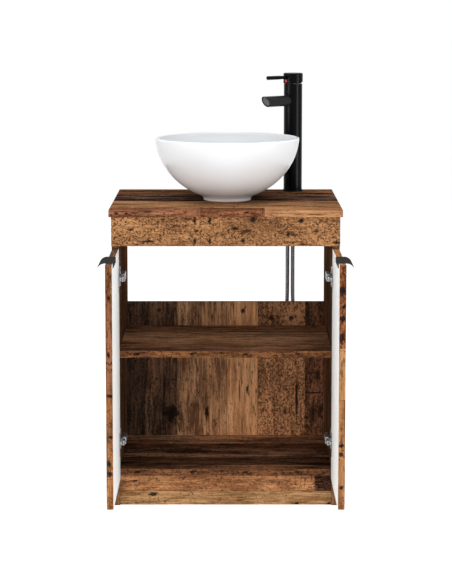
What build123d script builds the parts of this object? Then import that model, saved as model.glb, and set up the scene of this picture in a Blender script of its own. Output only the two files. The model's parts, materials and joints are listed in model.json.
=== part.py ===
from build123d import *
import math
import os

# A floor-standing bathroom vanity: a flat-pack carcass with a vessel basin, a tall mixer tap and two
# doors on concealed four-bar hinges. It is drawn with both doors open at 90 degrees.
#
# Frame: +Z up, +X to the right, the front faces -Y. The origin is on the floor, under the middle of
# the plinth board. All lengths are in millimetres.

# ---- Carcass ----
board = 16.0                # thickness of every board
carcass_w = 550.0           # outer width over the side panels
carcass_d = 412.0           # front to rear edge of a side panel
height = 730.0              # floor to the top of the worktop
worktop_side = 6.0          # worktop overhang at each side
worktop_front = 20.0        # worktop overhang in front of the carcass
worktop_rear = 44.0         # worktop overhang behind the carcass
worktop_nose_r = 8.0        # rounding of the worktop's top front edge
apron_h = 71.0              # false drawer front under the worktop
plinth_h = 75.0             # floor to the bottom panel
plinth_recess = 6.5
shelf_rise = 293.0          # bottom panel's upper face to the shelf's
back_inset = 65.0           # back panel's front face to the carcass's rear edge
window_h = 188.0            # opening between the back panel and the rear rail
front_rail_d = 80.0         # flat rail behind the apron
rear_rail_h = 80.0          # upright rail above the back panel

# ---- Doors ----
plinth_cover = 7.0          # how far a closed door covers the plinth
apron_gap = 7.0             # a closed door's upper edge to the apron
door_gap = 3.0              # between the two closed doors
overlay = 14.5              # how far a closed door covers the side panel's edge
reveal = 2.0                # closed door to carcass front
door_edge_r = 1.5           # rounding of the door's long front edges

# ---- Hinges: (s, n) is from the door's hinge edge and into the door from its inner face ----
hinge_up = 91.0             # lower hinge above the door's lower edge
hinge_down = 74.0           # upper hinge below the door's upper edge
open_inset = 1.6            # open door's inner face, inwards of the side panel's inner face
open_gap = 2.7              # carcass front to the open door's hinge edge
long_cup_pin = (7.9, 2.0)
short_cup_pin = (11.1, 4.4)
long_arm_u = 10.4           # the long link's arm pin, inwards of the side panel
short_arm_u = 9.7           # the short link's arm pin, inwards of the side panel
pin_r = 1.0
cup_pin_half = 9.0          # half length of the cup's pins
pin_play = 0.05             # radial running clearance of a link on its pin
loose_r = 1.95              # clearance eye of the short link on the arm pin
loose_lead_deg = -3.25      # turn of that eye about the cup pin in the open pose
link_half = 2.2             # half height of the long link
cheek_in, cheek_out = 2.5, 4.0      # the short link's cheeks, from the hinge centre
lug_in = 4.3                # the cup's lugs, from the hinge centre
arm_in, arm_out = 4.3, 5.8  # the arm's cheeks, from the hinge centre
cup_edge = 4.0              # door's hinge edge to the cup bore
cup_bore_r = 17.5
cup_wall = 1.0
cup_depth = 12.0
cup_fit = 0.1               # radial gap of the cup in its bore
cup_lug_s = 14.5            # lugs' far side from the door's hinge edge
cup_lug_n = 8.0             # lugs' reach into the cup
ear_w = 12.0
flange_t = 1.0
cup_screw_z = 24.0          # cup screws, above and below the hinge centre
cup_screw_s = 6.0           # cup screws, from the cup's centre away from the edge
plate_setback = 37.0        # mounting plate's screw line behind the carcass front
plate_screw_z = 16.0
arm_back_u = 15.0           # the arm's outer face from the side panel
arm_edge_u = 6.0            # the arm's open edges from the side panel
arm_front_v = 15.0          # arm body's front end behind the carcass front
arm_rear_v = 64.0
arm_half = 9.0              # half height of the arm body
arm_wall = 1.4
arm_round = 2.0
nose_w = 5.2                # the cheeks that carry the arm pins
nose_rear_v = 24.0
shoulder_u = 7.0            # the stretch that joins the cheeks to the arm body
shoulder_len = 7.0
plate_t = 2.0
plate_w = 18.0
plate_half = 24.0
plate_back = 3.0            # foot's and ridge's middle behind the plate's screw line
plate_foot_len = 46.0
plate_foot_half = 7.4
ridge_len = 40.0
ridge_half = 4.2
adjuster_r = 2.6
adjuster_places = (27.0, 52.0)   # behind the carcass front
adjuster_in = 4.0           # reach of a screw behind the arm's outer face
adjuster_out = 0.8

# ---- Edge pulls ----
pull_len = 100.0
pull_from_edge = 23.0       # free edge of the door to the pull
pull_t = 1.5
pull_reach = 19.0           # lip in front of the door
pull_drop = 9.0             # tip of the lip below the door's top
pull_flange = 11.0          # flange down the door's inner face
pull_screw_in = 18.0        # screws from the pull's ends
pull_screw_bite = 9.0
pull_screw_r = 1.2
pull_screw_head_r = 2.4
pull_screw_head_t = 1.2

# ---- Basin ----
basin_x = 4.0
basin_depth = 217.0         # carcass front to the basin's centre
bowl_r = 181.0
bowl_h = 157.0
bowl_centre_h = 165.0       # height of the ellipse's centre above the worktop
bowl_wall = 7.0
bowl_floor = 14.0
foot_r = 60.0
drain_r = 23.0

# ---- Waste ----
waste_tube_r = 20.95
waste_flange_r = 32.0
waste_flange_t = 3.0
waste_wall = 3.0
waste_tail = 66.0           # length of the tail below the worktop
trap_thread = 50.0          # thread on the tail's lower end for the trap
waste_groove = 0.6          # run-out groove between the trap's thread and the back nut's
waste_groove_w = 1.5
guide_r = 6.0               # hub that guides the plug's stem
guide_h = 8.0
guide_down = 4.0            # hub's upper face below the worktop's
spoke_t = 2.5
stem_r = 3.5
plug_r = 30.0
plug_t = 6.0
plug_crown = 4.0
seal_t = 4.0
waste_nut_h = 10.0

# ---- Tap ----
tap_x = 176.0
tap_inset = 39.0            # tap's centre to the worktop's rear edge
tap_r = 24.0
tap_wall = 3.5
tap_body_top = 282.0        # above the worktop
ring_r = 25.7
ring_h = 5.0
cap_r = 25.4
cap_gap = 1.2               # body to cap
cap_h = 26.8
cap_wall = 3.0
lift_deg = 20.0             # lever travel
lift_slack_deg = 0.6        # extra angle of the wedge cut behind the cap
spout_r = 14.0
spout_h = 238.0             # spout axis above the worktop
spout_reach = 103.0         # tap's axis to the spout's end, above
spout_cut = 13.5            # how much shorter the spout is below than above
spout_bore_r = 11.5
aerator_fit = 0.1
aerator_recess = 1.5
aerator_back = 8.0          # aerator's inner face behind the spout's lower lip
lever_r = 5.0
lever_neck_r = 4.0
lever_reach = 91.0
lever_down = 11.0           # lever's axis below the cap's top
indicator_down = 9.5        # dot below the lever's axis
tap_aim_deg = 221.0         # direction of the spout and the lever, from +X
cartridge_r = 17.5
cartridge_h = 44.0
cartridge_down = 8.0        # cartridge's upper face below the body's top
cartridge_floor = 6.0       # body metal under the cartridge
indicator_r = 3.6
yoke_r = 13.0               # the yoke that turns on the cartridge
yoke_t = 3.0
yoke_half = 4.0             # half width of the yoke's cheeks
yoke_in = 4.75              # the cheeks' faces from the tap's axis
yoke_out = 8.25
tilt_pin_r = 1.5
stem_w = 7.0
gasket_over = 11.0          # gasket and washer beyond the shank
gasket_t = 2.0
tap_nut_h = 10.0
tap_nut_over = 12.0         # nut's flats beyond the shank's diameter
shank_r = 16.5
shank_wall = 2.5
shank_len = 38.0            # below the worktop
hole_play = 1.0             # radial room of a tube in its hole in a board

# ---- Supply hoses ----
hose_r = 5.2
hose_spread = 6.5           # each hose's centre from the tap's axis at the shank
hose_seat_down = 18.0       # worktop's underside to the hose seats inside the shank
hose_hang_x = -6.0          # middle of the two hanging hoses from the tap's axis
hose_hang = 7.0             # each hanging hose from that middle
hose_splay = 6.0            # how far the connectors spread further
hose_drops = (hose_seat_down, 46.0, 78.0, 114.0, 184.0, 262.0, 309.0, 354.0, 399.0)
hose_seat_t = 6.0           # partition in the shank that the hoses screw into
hose_nut_af = 19.0          # across the flats
hose_nut_bore = 7.5
hose_nut_h = 22.0
hose_thread = 13.0          # depth of the threaded mouth

# ---- Worked out ----
half_w = carcass_w / 2
inner_x = half_w - board
front_y = -(plinth_recess + board / 2)
worktop_under = height - board
bottom_top = plinth_h + board
shelf_top = bottom_top + shelf_rise
back_top = worktop_under - rear_rail_h - window_h
door_bottom = plinth_h - plinth_cover
door_top = worktop_under - apron_h - apron_gap
hinge_heights = (door_bottom + hinge_up, door_top - hinge_down)
door_w = (carcass_w - 2 * (board - overlay) - door_gap) / 2
cap_top = tap_body_top + cap_gap + cap_h
lever_h = cap_top - lever_down
back_depth = carcass_d - back_inset
tap_depth = carcass_d + worktop_rear - tap_inset
basin_centre = (basin_x, front_y + basin_depth)
tap_centre = (tap_x, front_y + tap_depth)
cup_s = cup_edge + cup_bore_r
cup_r = cup_bore_r - cup_fit

nodes = {}


def keep(name, *solids):
    """Collect the solids of one node."""
    flat = [solid for shape in solids for solid in shape.solids()]
    nodes[name] = flat[0] if len(flat) == 1 else Compound(flat)


def block(x, y, z):
    """A board between its low and high limits along X, Y and Z."""
    size = (x[1] - x[0], y[1] - y[0], z[1] - z[0])
    middle = ((x[0] + x[1]) / 2, (y[0] + y[1]) / 2, (z[0] + z[1]) / 2)
    return Pos(*middle) * Box(*size)


def rod(radius, start, end):
    """A round bar between two points."""
    a, b = Vector(*start), Vector(*end)
    return extrude(Plane(origin=a, z_dir=b - a) * Circle(radius), amount=(b - a).length)


def tube(outer, inner, x, y, z):
    """An upright tube between two heights."""
    return rod(outer, (x, y, z[0]), (x, y, z[1])) - rod(inner, (x, y, z[0] - 1), (x, y, z[1] + 1))


def hexagon(across, x, y, z):
    """An upright six-sided nut blank."""
    flat = RegularPolygon(across / 2, 6, major_radius=False)
    return extrude(Plane(origin=(x, y, z[0])) * flat, amount=z[1] - z[0])


def screw(head, tip, shank_r, head_r, head_t):
    """A countersunk screw from the outer face of its head to its tip."""
    a, b = Vector(*head), Vector(*tip)
    along = (b - a).normalized()
    cone = Plane(origin=a, z_dir=along)
    taper = loft([cone * Circle(head_r), cone.offset(head_t) * Circle(shank_r)])
    return taper + rod(shank_r, tuple(a + along * head_t), tuple(b))


def wood_screw(head, tip):
    """A countersunk chipboard screw."""
    return screw(head, tip, screw_shank_r, screw_head_r, screw_head_t)


def depth(d):
    """World Y of a distance behind the carcass front."""
    return front_y + d


def both_sides(shape):
    """A left-hand shape and its mirror image."""
    return [shape, mirror(shape, about=Plane.YZ)]


# ---- Fastener places shared by the boards that they join ----
screw_shank_r = 1.75
screw_head_r = 3.5
screw_head_t = 2.2
screw_bite = 11.0           # how deep a screw reaches into its second board
dowel_r = 4.0
dowel_half = 15.0
cam_r = 7.5
cam_depth = 12.5
cam_inset = 24.0
shelf_pin_r = 2.5
shelf_pin_in = 10.0
shelf_pin_out = 8.0
dowel_front = 40.0          # bottom panel's dowels, from its two ends
dowel_rear = 60.0
rail_dowel = 20.0           # a rail's dowels, from its edges
panel_dowel = 60.0          # back panel's dowels below its upper edge
apron_dowel = 18.0          # apron's dowels from its edges
cam_front = 90.0            # bottom panel's cam locks, from its two ends
cam_rear = 100.0
shelf_pin_edge = 37.0       # shelf pins from the shelf's edges
bracket_t = 2.0
bracket_leg = 32.0
bracket_w = 30.0
bracket_down = 40.0         # bracket's middle below the worktop
bracket_screw_z = 9.0
bracket_screw_y = 16.0
wall_hole_r = 3.25
wall_hole_in = 20.0         # wall screw's hole from the side panel's inner face


def dowels():
    """Dowels through the side panels' inner faces into the bottom panel and the two rails."""
    places = [(d, plinth_h + board / 2) for d in (dowel_front, back_depth - dowel_rear)]
    places += [(d, worktop_under - board / 2) for d in (rail_dowel, front_rail_d - rail_dowel)]
    places += [(back_depth + board / 2, worktop_under - h) for h in (rail_dowel, rear_rail_h - rail_dowel)]
    places += [(back_depth + board / 2, back_top - panel_dowel)]
    left = []
    for d, z in places:
        left.append(rod(dowel_r, (-inner_x - board * 0.7, depth(d), z), (-inner_x + dowel_half, depth(d), z)))
    x = -half_w + board / 2
    for z in (worktop_under - apron_dowel, worktop_under - apron_h + apron_dowel):
        left.append(rod(dowel_r, (x, front_y - board * 0.7, z), (x, front_y + dowel_half, z)))
    return [solid for shape in left for solid in both_sides(shape)]


def cams():
    """Cam locks let into the under-side of the bottom panel and the rear face of the rear rail."""
    x = -inner_x + cam_inset
    low = [rod(cam_r, (x, depth(d), plinth_h), (x, depth(d), plinth_h + cam_depth))
           for d in (cam_front, back_depth - cam_rear)]
    y = depth(back_depth + board)
    z = worktop_under - rear_rail_h / 2
    high = [rod(cam_r, (x, y, z), (x, y - cam_depth, z))]
    return [solid for shape in low + high for solid in both_sides(shape)]


def shelf_pins():
    """Stepped pins under the shelf's four corners."""
    z = shelf_top - board - shelf_pin_r
    left = [rod(shelf_pin_r, (-inner_x - shelf_pin_in, depth(d), z), (-inner_x + shelf_pin_out, depth(d), z))
            for d in (shelf_pin_edge, back_depth - shelf_pin_edge)]
    return [solid for shape in left for solid in both_sides(shape)]


def worktop_screws():
    """Screws up through both rails into the worktop."""
    y = depth(front_rail_d / 2)
    heads = [(x, y, worktop_under - board) for x in (-inner_x * 0.6, inner_x * 0.6)]
    return [wood_screw((x, y, z), (x, y, z + board + screw_bite)) for x, y, z in heads]


def cut(shape, tools):
    """A shape with the places of its fasteners taken out."""
    for tool in tools:
        shape = shape - tool
    return shape


# ---- Hinge geometry in plan: (u, v) is inwards from the side panel's inner face, and out of the front
def closed_at(pin):
    """A cup pin's place when the door is closed."""
    return (-overlay + pin[0], reveal + pin[1])


def open_at(pin):
    """A cup pin's place when the door is open."""
    return (open_inset - pin[1], open_gap + pin[0])


def arm_pin(pin, u):
    """The arm pin at a given u that is as far from the cup pin's open place as from its closed one."""
    (cu, cv), (ou, ov) = closed_at(pin), open_at(pin)
    return (u, (cv + ov) / 2 - (u - (cu + ou) / 2) * (ou - cu) / (ov - cv))


def bearing(start, end):
    """Direction in plan from one point to another, in degrees."""
    return math.degrees(math.atan2(end[1] - start[1], end[0] - start[0]))


def swing(pin, cup_pin):
    """Angle in plan that a link turns through about its arm pin while the door closes."""
    turn = bearing(pin, closed_at(cup_pin)) - bearing(pin, open_at(cup_pin))
    return (turn + 180) % 360 - 180


def loose_eye():
    """Centre of the short link's clearance eye: a little off the arm pin, so the play is shared evenly."""
    c = open_at(short_cup_pin)
    reach, turn = math.dist(c, short_arm_pin), math.radians(bearing(c, short_arm_pin) + loose_lead_deg)
    return (c[0] + reach * math.cos(turn), c[1] + reach * math.sin(turn))


long_arm_pin = arm_pin(long_cup_pin, long_arm_u)
short_arm_pin = arm_pin(short_cup_pin, short_arm_u)
long_swing = swing(long_arm_pin, long_cup_pin)
short_swing = swing(short_arm_pin, short_cup_pin)


def side_point(u, v, z):
    """World place of a point in plan at the left side."""
    return (-inner_x + u, front_y - v, z)


def door_point(s, n, z):
    """World place of a point of the left door."""
    return (-inner_x + open_inset - n, front_y - open_gap - s, z)


def slab(sketch, z, low, high):
    """A plan sketch at the left side as a plate between two heights."""
    plane = Plane(origin=(-inner_x, front_y, z + high), x_dir=(1, 0, 0), z_dir=(0, 0, -1))
    return extrude(plane * sketch, amount=high - low)


def twin_slabs(sketch, z, low, high):
    """Two equal plates, above and below the hinge centre."""
    return slab(sketch, z, low, high) + slab(sketch, z, -high, -low)


def limb(points, width):
    """A bent strip with round ends through a few points."""
    strip = None
    for (x0, y0), (x1, y1) in zip(points, points[1:]):
        run = math.hypot(x1 - x0, y1 - y0)
        slot = SlotCenterToCenter(run, width, rotation=bearing((x0, y0), (x1, y1)))
        piece = Pos((x0 + x1) / 2, (y0 + y1) / 2) * slot
        strip = piece if strip is None else strip + piece
    return strip


def area(u, v):
    """A rectangle in plan between its limits."""
    return Pos(sum(u) / 2, sum(v) / 2) * Rectangle(u[1] - u[0], v[1] - v[0])


def disc(at, radius):
    """A round sketch in plan."""
    return Pos(*at) * Circle(radius)


def long_link(z):
    """The gooseneck link from the arm's rear pin to the cup's outer pin."""
    a, c = long_arm_pin, open_at(long_cup_pin)
    shape = limb([c, (c[0] + 4.9, c[1] - 0.3), a], 3.6) + disc(a, 2.3) + disc(c, 1.95)
    shape = shape - disc(a, pin_r + pin_play) - disc(c, pin_r + pin_play)
    return slab(shape, z, -link_half, link_half)


def short_link(z):
    """The U-shaped link over the arm's front pin and the cup's inner pin, its two cheeks joined by a web."""
    a, c = loose_eye(), open_at(short_cup_pin)
    eye = loose_r + 0.9
    outer = limb([c, (c[0] + 5.6, c[1] + 0.3), a], 2.8) + disc(a, eye) + disc(c, 1.9)
    cheek = outer - disc(a, loose_r) - disc(c, pin_r + pin_play)
    away = bearing(c, a)
    back = disc(a, eye) - disc(a, loose_r + 0.1)
    window = Pos(*a) * Rot(0, 0, away) * Pos(eye, 0) * Rectangle(eye * 1.2, eye * 1.1)
    return twin_slabs(cheek, z, cheek_in, cheek_out) + slab(back & window, z, -cheek_out, cheek_out)


def hinge_arm(z):
    """A pressed arm: a hollow body over the mounting plate and two cheeks that carry the arm pins."""
    a, b = long_arm_pin, short_arm_pin
    nose = limb([(a[0] - 0.6, -nose_rear_v), a, b], nose_w)
    body = slab(area((arm_edge_u, arm_back_u), (-arm_rear_v, -arm_front_v)), z, -arm_half, arm_half)
    body = fillet(body.edges().filter_by(Axis.Y).group_by(Axis.X)[-1], arm_round)
    hollow = area((arm_edge_u - 2, arm_back_u - arm_wall), (-arm_rear_v, -arm_front_v + 2))
    body = body - slab(hollow, z, arm_wall - arm_half, arm_half - arm_wall)
    shoulder = area((shoulder_u, arm_back_u), (-arm_front_v - shoulder_len, -arm_front_v))
    return body + twin_slabs(shoulder, z, arm_in, arm_half - 1) + twin_slabs(nose, z, arm_in, arm_out)


def hinge_plate(z):
    """A cross-shaped mounting plate with the ridge that the arm sits on."""
    middle = -plate_setback - plate_back
    base = area((0, plate_t), (-plate_setback - plate_w / 2, -plate_setback + plate_w / 2))
    foot = area((0, plate_t), (middle - plate_foot_len / 2, middle + plate_foot_len / 2))
    ridge = area((0, arm_back_u - arm_wall), (middle - ridge_len / 2, middle + ridge_len / 2))
    plate = slab(base, z, -plate_half, plate_half) + slab(foot, z, -plate_foot_half, plate_foot_half)
    return plate + slab(ridge, z, -ridge_half, ridge_half)


def hinge_cup(z):
    """A drawn cup with a screw flange, an open mouth and two lugs that carry the cup pins."""
    shell = rod(cup_r, door_point(cup_s, 0, z), door_point(cup_s, cup_depth, z))
    face = Plane(origin=door_point(0, 0, z), x_dir=(0, -1, 0), z_dir=(1, 0, 0))
    outline = Pos(cup_s, 0) * Circle(cup_bore_r + 1.0)
    for side in (-1, 1):
        ear = (cup_s + cup_screw_s, side * cup_screw_z)
        outline = outline + limb([(cup_s + cup_screw_s, side * 8.0), ear], ear_w)
    flange = extrude(face * outline, amount=flange_t)
    mouth_r, mouth_floor = cup_r - cup_wall, cup_depth - cup_wall
    mouth = rod(mouth_r, door_point(cup_s, -flange_t - 1, z), door_point(cup_s, mouth_floor, z))
    near, far = cup_s - mouth_r, cup_lug_s
    lugs = None
    for low, high in ((lug_in, mouth_r), (-mouth_r, -lug_in)):
        spots = [door_point(near, cup_lug_n, z + low), door_point(far, 0.0, z + high)]
        lug = block(*[sorted((spots[0][k], spots[1][k])) for k in range(3)])
        lugs = lug if lugs is None else lugs + lug
    shell = shell + flange - mouth
    return shell + (lugs & rod(cup_r - 0.2, door_point(cup_s, 0, z), door_point(cup_s, cup_depth, z)))


def cup_pins(z):
    """One through pin for the long link and two stub pins for the short link's cheeks."""
    s, n = long_cup_pin
    through = rod(pin_r, door_point(s, n, z - cup_pin_half), door_point(s, n, z + cup_pin_half))
    s, n = short_cup_pin
    near, far = cheek_in + 0.1, cup_pin_half
    stubs = [rod(pin_r, door_point(s, n, z + k * near), door_point(s, n, z + k * far)) for k in (-1, 1)]
    return [through] + stubs


def arm_pins(z):
    """The two rivets across the arm's cheeks."""
    pins = (long_arm_pin, short_arm_pin)
    return [rod(pin_r, side_point(*p, z - arm_out), side_point(*p, z + arm_out)) for p in pins]


def cup_screws(z):
    """Two countersunk screws through the cup's flange."""
    s = cup_s + cup_screw_s
    heights = (z - cup_screw_z, z + cup_screw_z)
    return [wood_screw(door_point(s, -flange_t, h), door_point(s, screw_bite, h)) for h in heights]


def plate_screws(z):
    """Two countersunk screws through the mounting plate into the side panel."""
    v, heights = -plate_setback, (z - plate_screw_z, z + plate_screw_z)
    return [wood_screw(side_point(plate_t, v, h), side_point(-screw_bite, v, h)) for h in heights]


def adjusting_screws(z):
    """The side-adjusting screw and the clamping screw in the arm's back."""
    low, high = arm_back_u - adjuster_in, arm_back_u + adjuster_out
    return [rod(adjuster_r, side_point(low, -v, z), side_point(high, -v, z)) for v in adjuster_places]


# ---- Doors ----
def door_panel():
    """A door with rounded front edges and its two cup bores."""
    a, b = door_point(0, 0, door_bottom), door_point(door_w, board, door_top)
    panel = block(*[sorted((a[k], b[k])) for k in range(3)])
    outer = panel.edges().group_by(Axis.X)[0]
    panel = fillet(outer, door_edge_r)
    for z in hinge_heights:
        panel = panel - rod(cup_bore_r, door_point(cup_s, -1, z), door_point(cup_s, cup_depth + 0.5, z))
    return panel


def edge_pull():
    """A bent sheet pull hooked over the door's top edge, with a curved lip in front."""
    s0 = door_w - pull_from_edge
    plane = Plane(origin=door_point(s0, 0, door_top), x_dir=(-1, 0, 0), z_dir=(0, 1, 0))
    t, tip = pull_t, board + pull_reach
    mid = (board + pull_reach * 0.62, -pull_drop * 0.20)
    upper = [Line((-t, -pull_flange), (-t, t * 0.4)),
             ThreePointArc((-t, t * 0.4), (-t * 0.75, t * 0.8), (-t * 0.3, t)),
             Line((-t * 0.3, t), (board - 1.0, t)),
             ThreePointArc((board - 1.0, t), (mid[0], mid[1] + t * 0.55), (tip, -pull_drop))]
    lower = [Line((tip, -pull_drop), (tip - 1.0, -pull_drop)),
             ThreePointArc((tip - 1.0, -pull_drop), (mid[0] - 1.0, mid[1] - t * 0.45), (board, 0)),
             Line((board, 0), (0, 0)),
             Line((0, 0), (0, -pull_flange)),
             Line((0, -pull_flange), (-t, -pull_flange))]
    return extrude(plane * make_face(Wire(upper + lower)), amount=pull_len)


def pull_screws():
    """Two small screws through the pull's inner flange."""
    z = door_top - pull_flange / 2 - 1.0
    s0 = door_w - pull_from_edge
    places = (s0 - pull_screw_in, s0 - pull_len + pull_screw_in)
    size = (pull_screw_r, pull_screw_head_r, pull_screw_head_t)
    return [screw(door_point(s, -pull_t, z), door_point(s, pull_screw_bite, z), *size) for s in places]


def keep_hinges_and_doors():
    """All hinge and door nodes of both sides."""
    cups = [hinge_cup(z) for z in hinge_heights]
    pins = [pin for z in hinge_heights for pin in cup_pins(z)]
    screws = [s for z in hinge_heights for s in cup_screws(z)]
    cups = [cut(cup, pins + screws) for cup in cups]
    pull_fixings = pull_screws()
    pull = cut(edge_pull(), pull_fixings)
    panel = cut(door_panel(), screws + pull_fixings)
    groups = {"door": [panel], "hinge_cups": cups, "cup_pins": pins, "cup_screws": screws,
              "handle": [pull], "handle_screws": pull_fixings,
              "long_links": [long_link(z) for z in hinge_heights],
              "short_links": [short_link(z) for z in hinge_heights]}
    for name, shapes in groups.items():
        keep("left_" + name, *shapes)
        keep("right_" + name, *[mirror(shape, about=Plane.YZ) for shape in shapes])
    rivets = [pin for z in hinge_heights for pin in arm_pins(z)]
    adjusters = [s for z in hinge_heights for s in adjusting_screws(z)]
    plates = [cut(hinge_plate(z), adjusters + plate_screws(z)) for z in hinge_heights]
    arms = [cut(hinge_arm(z), adjusters + rivets) for z in hinge_heights]
    keep("hinge_plates", *[s for shape in plates for s in both_sides(shape)])
    keep("hinge_arms", *[s for shape in arms for s in both_sides(shape)])
    keep("arm_pins", *[s for shape in rivets for s in both_sides(shape)])
    keep("adjusting_screws", *[s for shape in adjusters for s in both_sides(shape)])


# ---- Carcass ----
bracket_z = worktop_under - bracket_down
wall_hole_x = inner_x - wall_hole_in


def wall_bracket():
    """A bent steel bracket at the rear top corner of the left side panel, with a hole for a wall screw."""
    y = depth(carcass_d)
    z = (bracket_z - bracket_w / 2, bracket_z + bracket_w / 2)
    side = block((-inner_x, -inner_x + bracket_t), (y - bracket_leg, y), z)
    wall = block((-inner_x, -inner_x + bracket_leg), (y - bracket_t, y), z)
    x = wall_hole_x
    return side + wall - rod(wall_hole_r, (-x, y - bracket_t - 1, bracket_z), (-x, y + 1, bracket_z))


def bracket_screws():
    """Two screws through the bracket's side leg."""
    y = depth(carcass_d) - bracket_screw_y
    heights = (bracket_z - bracket_screw_z, bracket_z + bracket_screw_z)
    tip = -inner_x - screw_bite
    size = (screw_shank_r, screw_head_r, bracket_t - 0.1)
    return [screw((-inner_x + bracket_t, y, z), (tip, y, z), *size) for z in heights]


def keep_carcass():
    """Boards, their fasteners and the wall brackets."""
    pegs, locks, supports, top_screws = dowels(), cams(), shelf_pins(), worktop_screws()
    side_screws = [s for z in hinge_heights for s in plate_screws(z)] + bracket_screws()
    all_side_screws = [s for shape in side_screws for s in both_sides(shape)]
    tools = pegs + locks + supports + top_screws + all_side_screws
    left = block((-half_w, -inner_x), (front_y, depth(carcass_d)), (0, worktop_under))
    left = cut(left, tools)
    keep("left_side_panel", left)
    keep("right_side_panel", mirror(left, about=Plane.YZ))
    span = (-inner_x, inner_x)
    back_y = (depth(back_depth), depth(back_depth + board))
    keep("bottom_panel", cut(block(span, (front_y, back_y[1]), (plinth_h, bottom_top)), tools))
    keep("shelf", block(span, (front_y, back_y[0]), (shelf_top - board, shelf_top)))
    keep("back_panel", cut(block(span, back_y, (bottom_top, back_top)), tools))
    apron_x = (-half_w, half_w)
    apron = block(apron_x, (front_y - board, front_y), (worktop_under - apron_h, worktop_under))
    apron = fillet(apron.edges().group_by(Axis.Y)[0], 1.0)
    keep("front_apron", cut(apron, pegs))
    keep("plinth", block(span, (front_y + plinth_recess, front_y + plinth_recess + board), (0, plinth_h)))
    front_rail = block(span, (front_y, depth(front_rail_d)), (worktop_under - board, worktop_under))
    keep("front_rail", cut(front_rail, tools))
    rear_rail = block(span, back_y, (worktop_under - rear_rail_h, worktop_under))
    keep("rear_rail", cut(rear_rail, tools))
    keep("shelf_pins", *supports)
    keep("dowels", *pegs)
    keep("cam_locks", *locks)
    keep("worktop_screws", *top_screws)
    keep("panel_screws", *all_side_screws)
    brackets = cut(wall_bracket(), bracket_screws())
    keep("wall_brackets", *both_sides(brackets))
    top_x, top_y = half_w + worktop_side, (front_y - worktop_front, depth(carcass_d + worktop_rear))
    top = block((-top_x, top_x), top_y, (worktop_under, height))
    nose = top.edges().group_by(Axis.Y)[0].group_by(Axis.Z)[-1]
    top = fillet(nose, worktop_nose_r)
    for (x, y), r in ((basin_centre, waste_tube_r + hole_play + 1.0), (tap_centre, shank_r + hole_play)):
        top = top - rod(r, (x, y, worktop_under - 1), (x, y, height + 1))
    keep("worktop", cut(top, top_screws))


# ---- Basin and waste ----
def ellipse_r(r, h, z):
    """Radius at height z of an ellipse centred at bowl_centre_h."""
    return r * math.sqrt(1 - ((bowl_centre_h - z) / h) ** 2)


def bowl_arc(r, h, z0, z1):
    """The stretch of the bowl's ellipse between two heights."""
    angles = [math.degrees(math.asin((z - bowl_centre_h) / h)) for z in (z0, z1)]
    return EllipticalCenterArc((0, bowl_centre_h), r, h, angles[0], arc_size=angles[1] - angles[0])


def basin():
    """A turned vessel basin: an elliptical bowl on a low foot, with a seat for the waste flange."""
    inner_r, inner_h = bowl_r - bowl_wall, bowl_centre_h - bowl_floor
    foot_top = bowl_centre_h * (1 - math.sqrt(1 - (foot_r / bowl_r) ** 2))
    seat_r = waste_flange_r + 0.6
    seat_top = bowl_centre_h - inner_h * math.sqrt(1 - (seat_r / inner_r) ** 2)
    rim_out, rim_in = ellipse_r(bowl_r, bowl_centre_h, bowl_h), ellipse_r(inner_r, inner_h, bowl_h)
    lip = (rim_out - rim_in) / 2
    edges = [
        Line((drain_r, 6), (foot_r - 10, 6)), Line((foot_r - 10, 6), (foot_r - 10, 0)),
        Line((foot_r - 10, 0), (foot_r, 0)), Line((foot_r, 0), (foot_r, foot_top)),
        bowl_arc(bowl_r, bowl_centre_h, foot_top, bowl_h - lip),
    ]
    a, b = edges[-1] @ 1, bowl_arc(inner_r, inner_h, seat_top, bowl_h - lip) @ 1
    edges += [
        ThreePointArc(a, ((a.X + b.X) / 2, bowl_h), b),
        bowl_arc(inner_r, inner_h, seat_top, bowl_h - lip),
        Line((seat_r, seat_top), (seat_r, bowl_floor)), Line((seat_r, bowl_floor), (drain_r, bowl_floor)),
        Line((drain_r, bowl_floor), (drain_r, 6)),
    ]
    turned = revolve(Plane.XZ * make_face(Wire(edges)), Axis.Z)
    return Pos(*basin_centre, height) * turned


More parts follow.
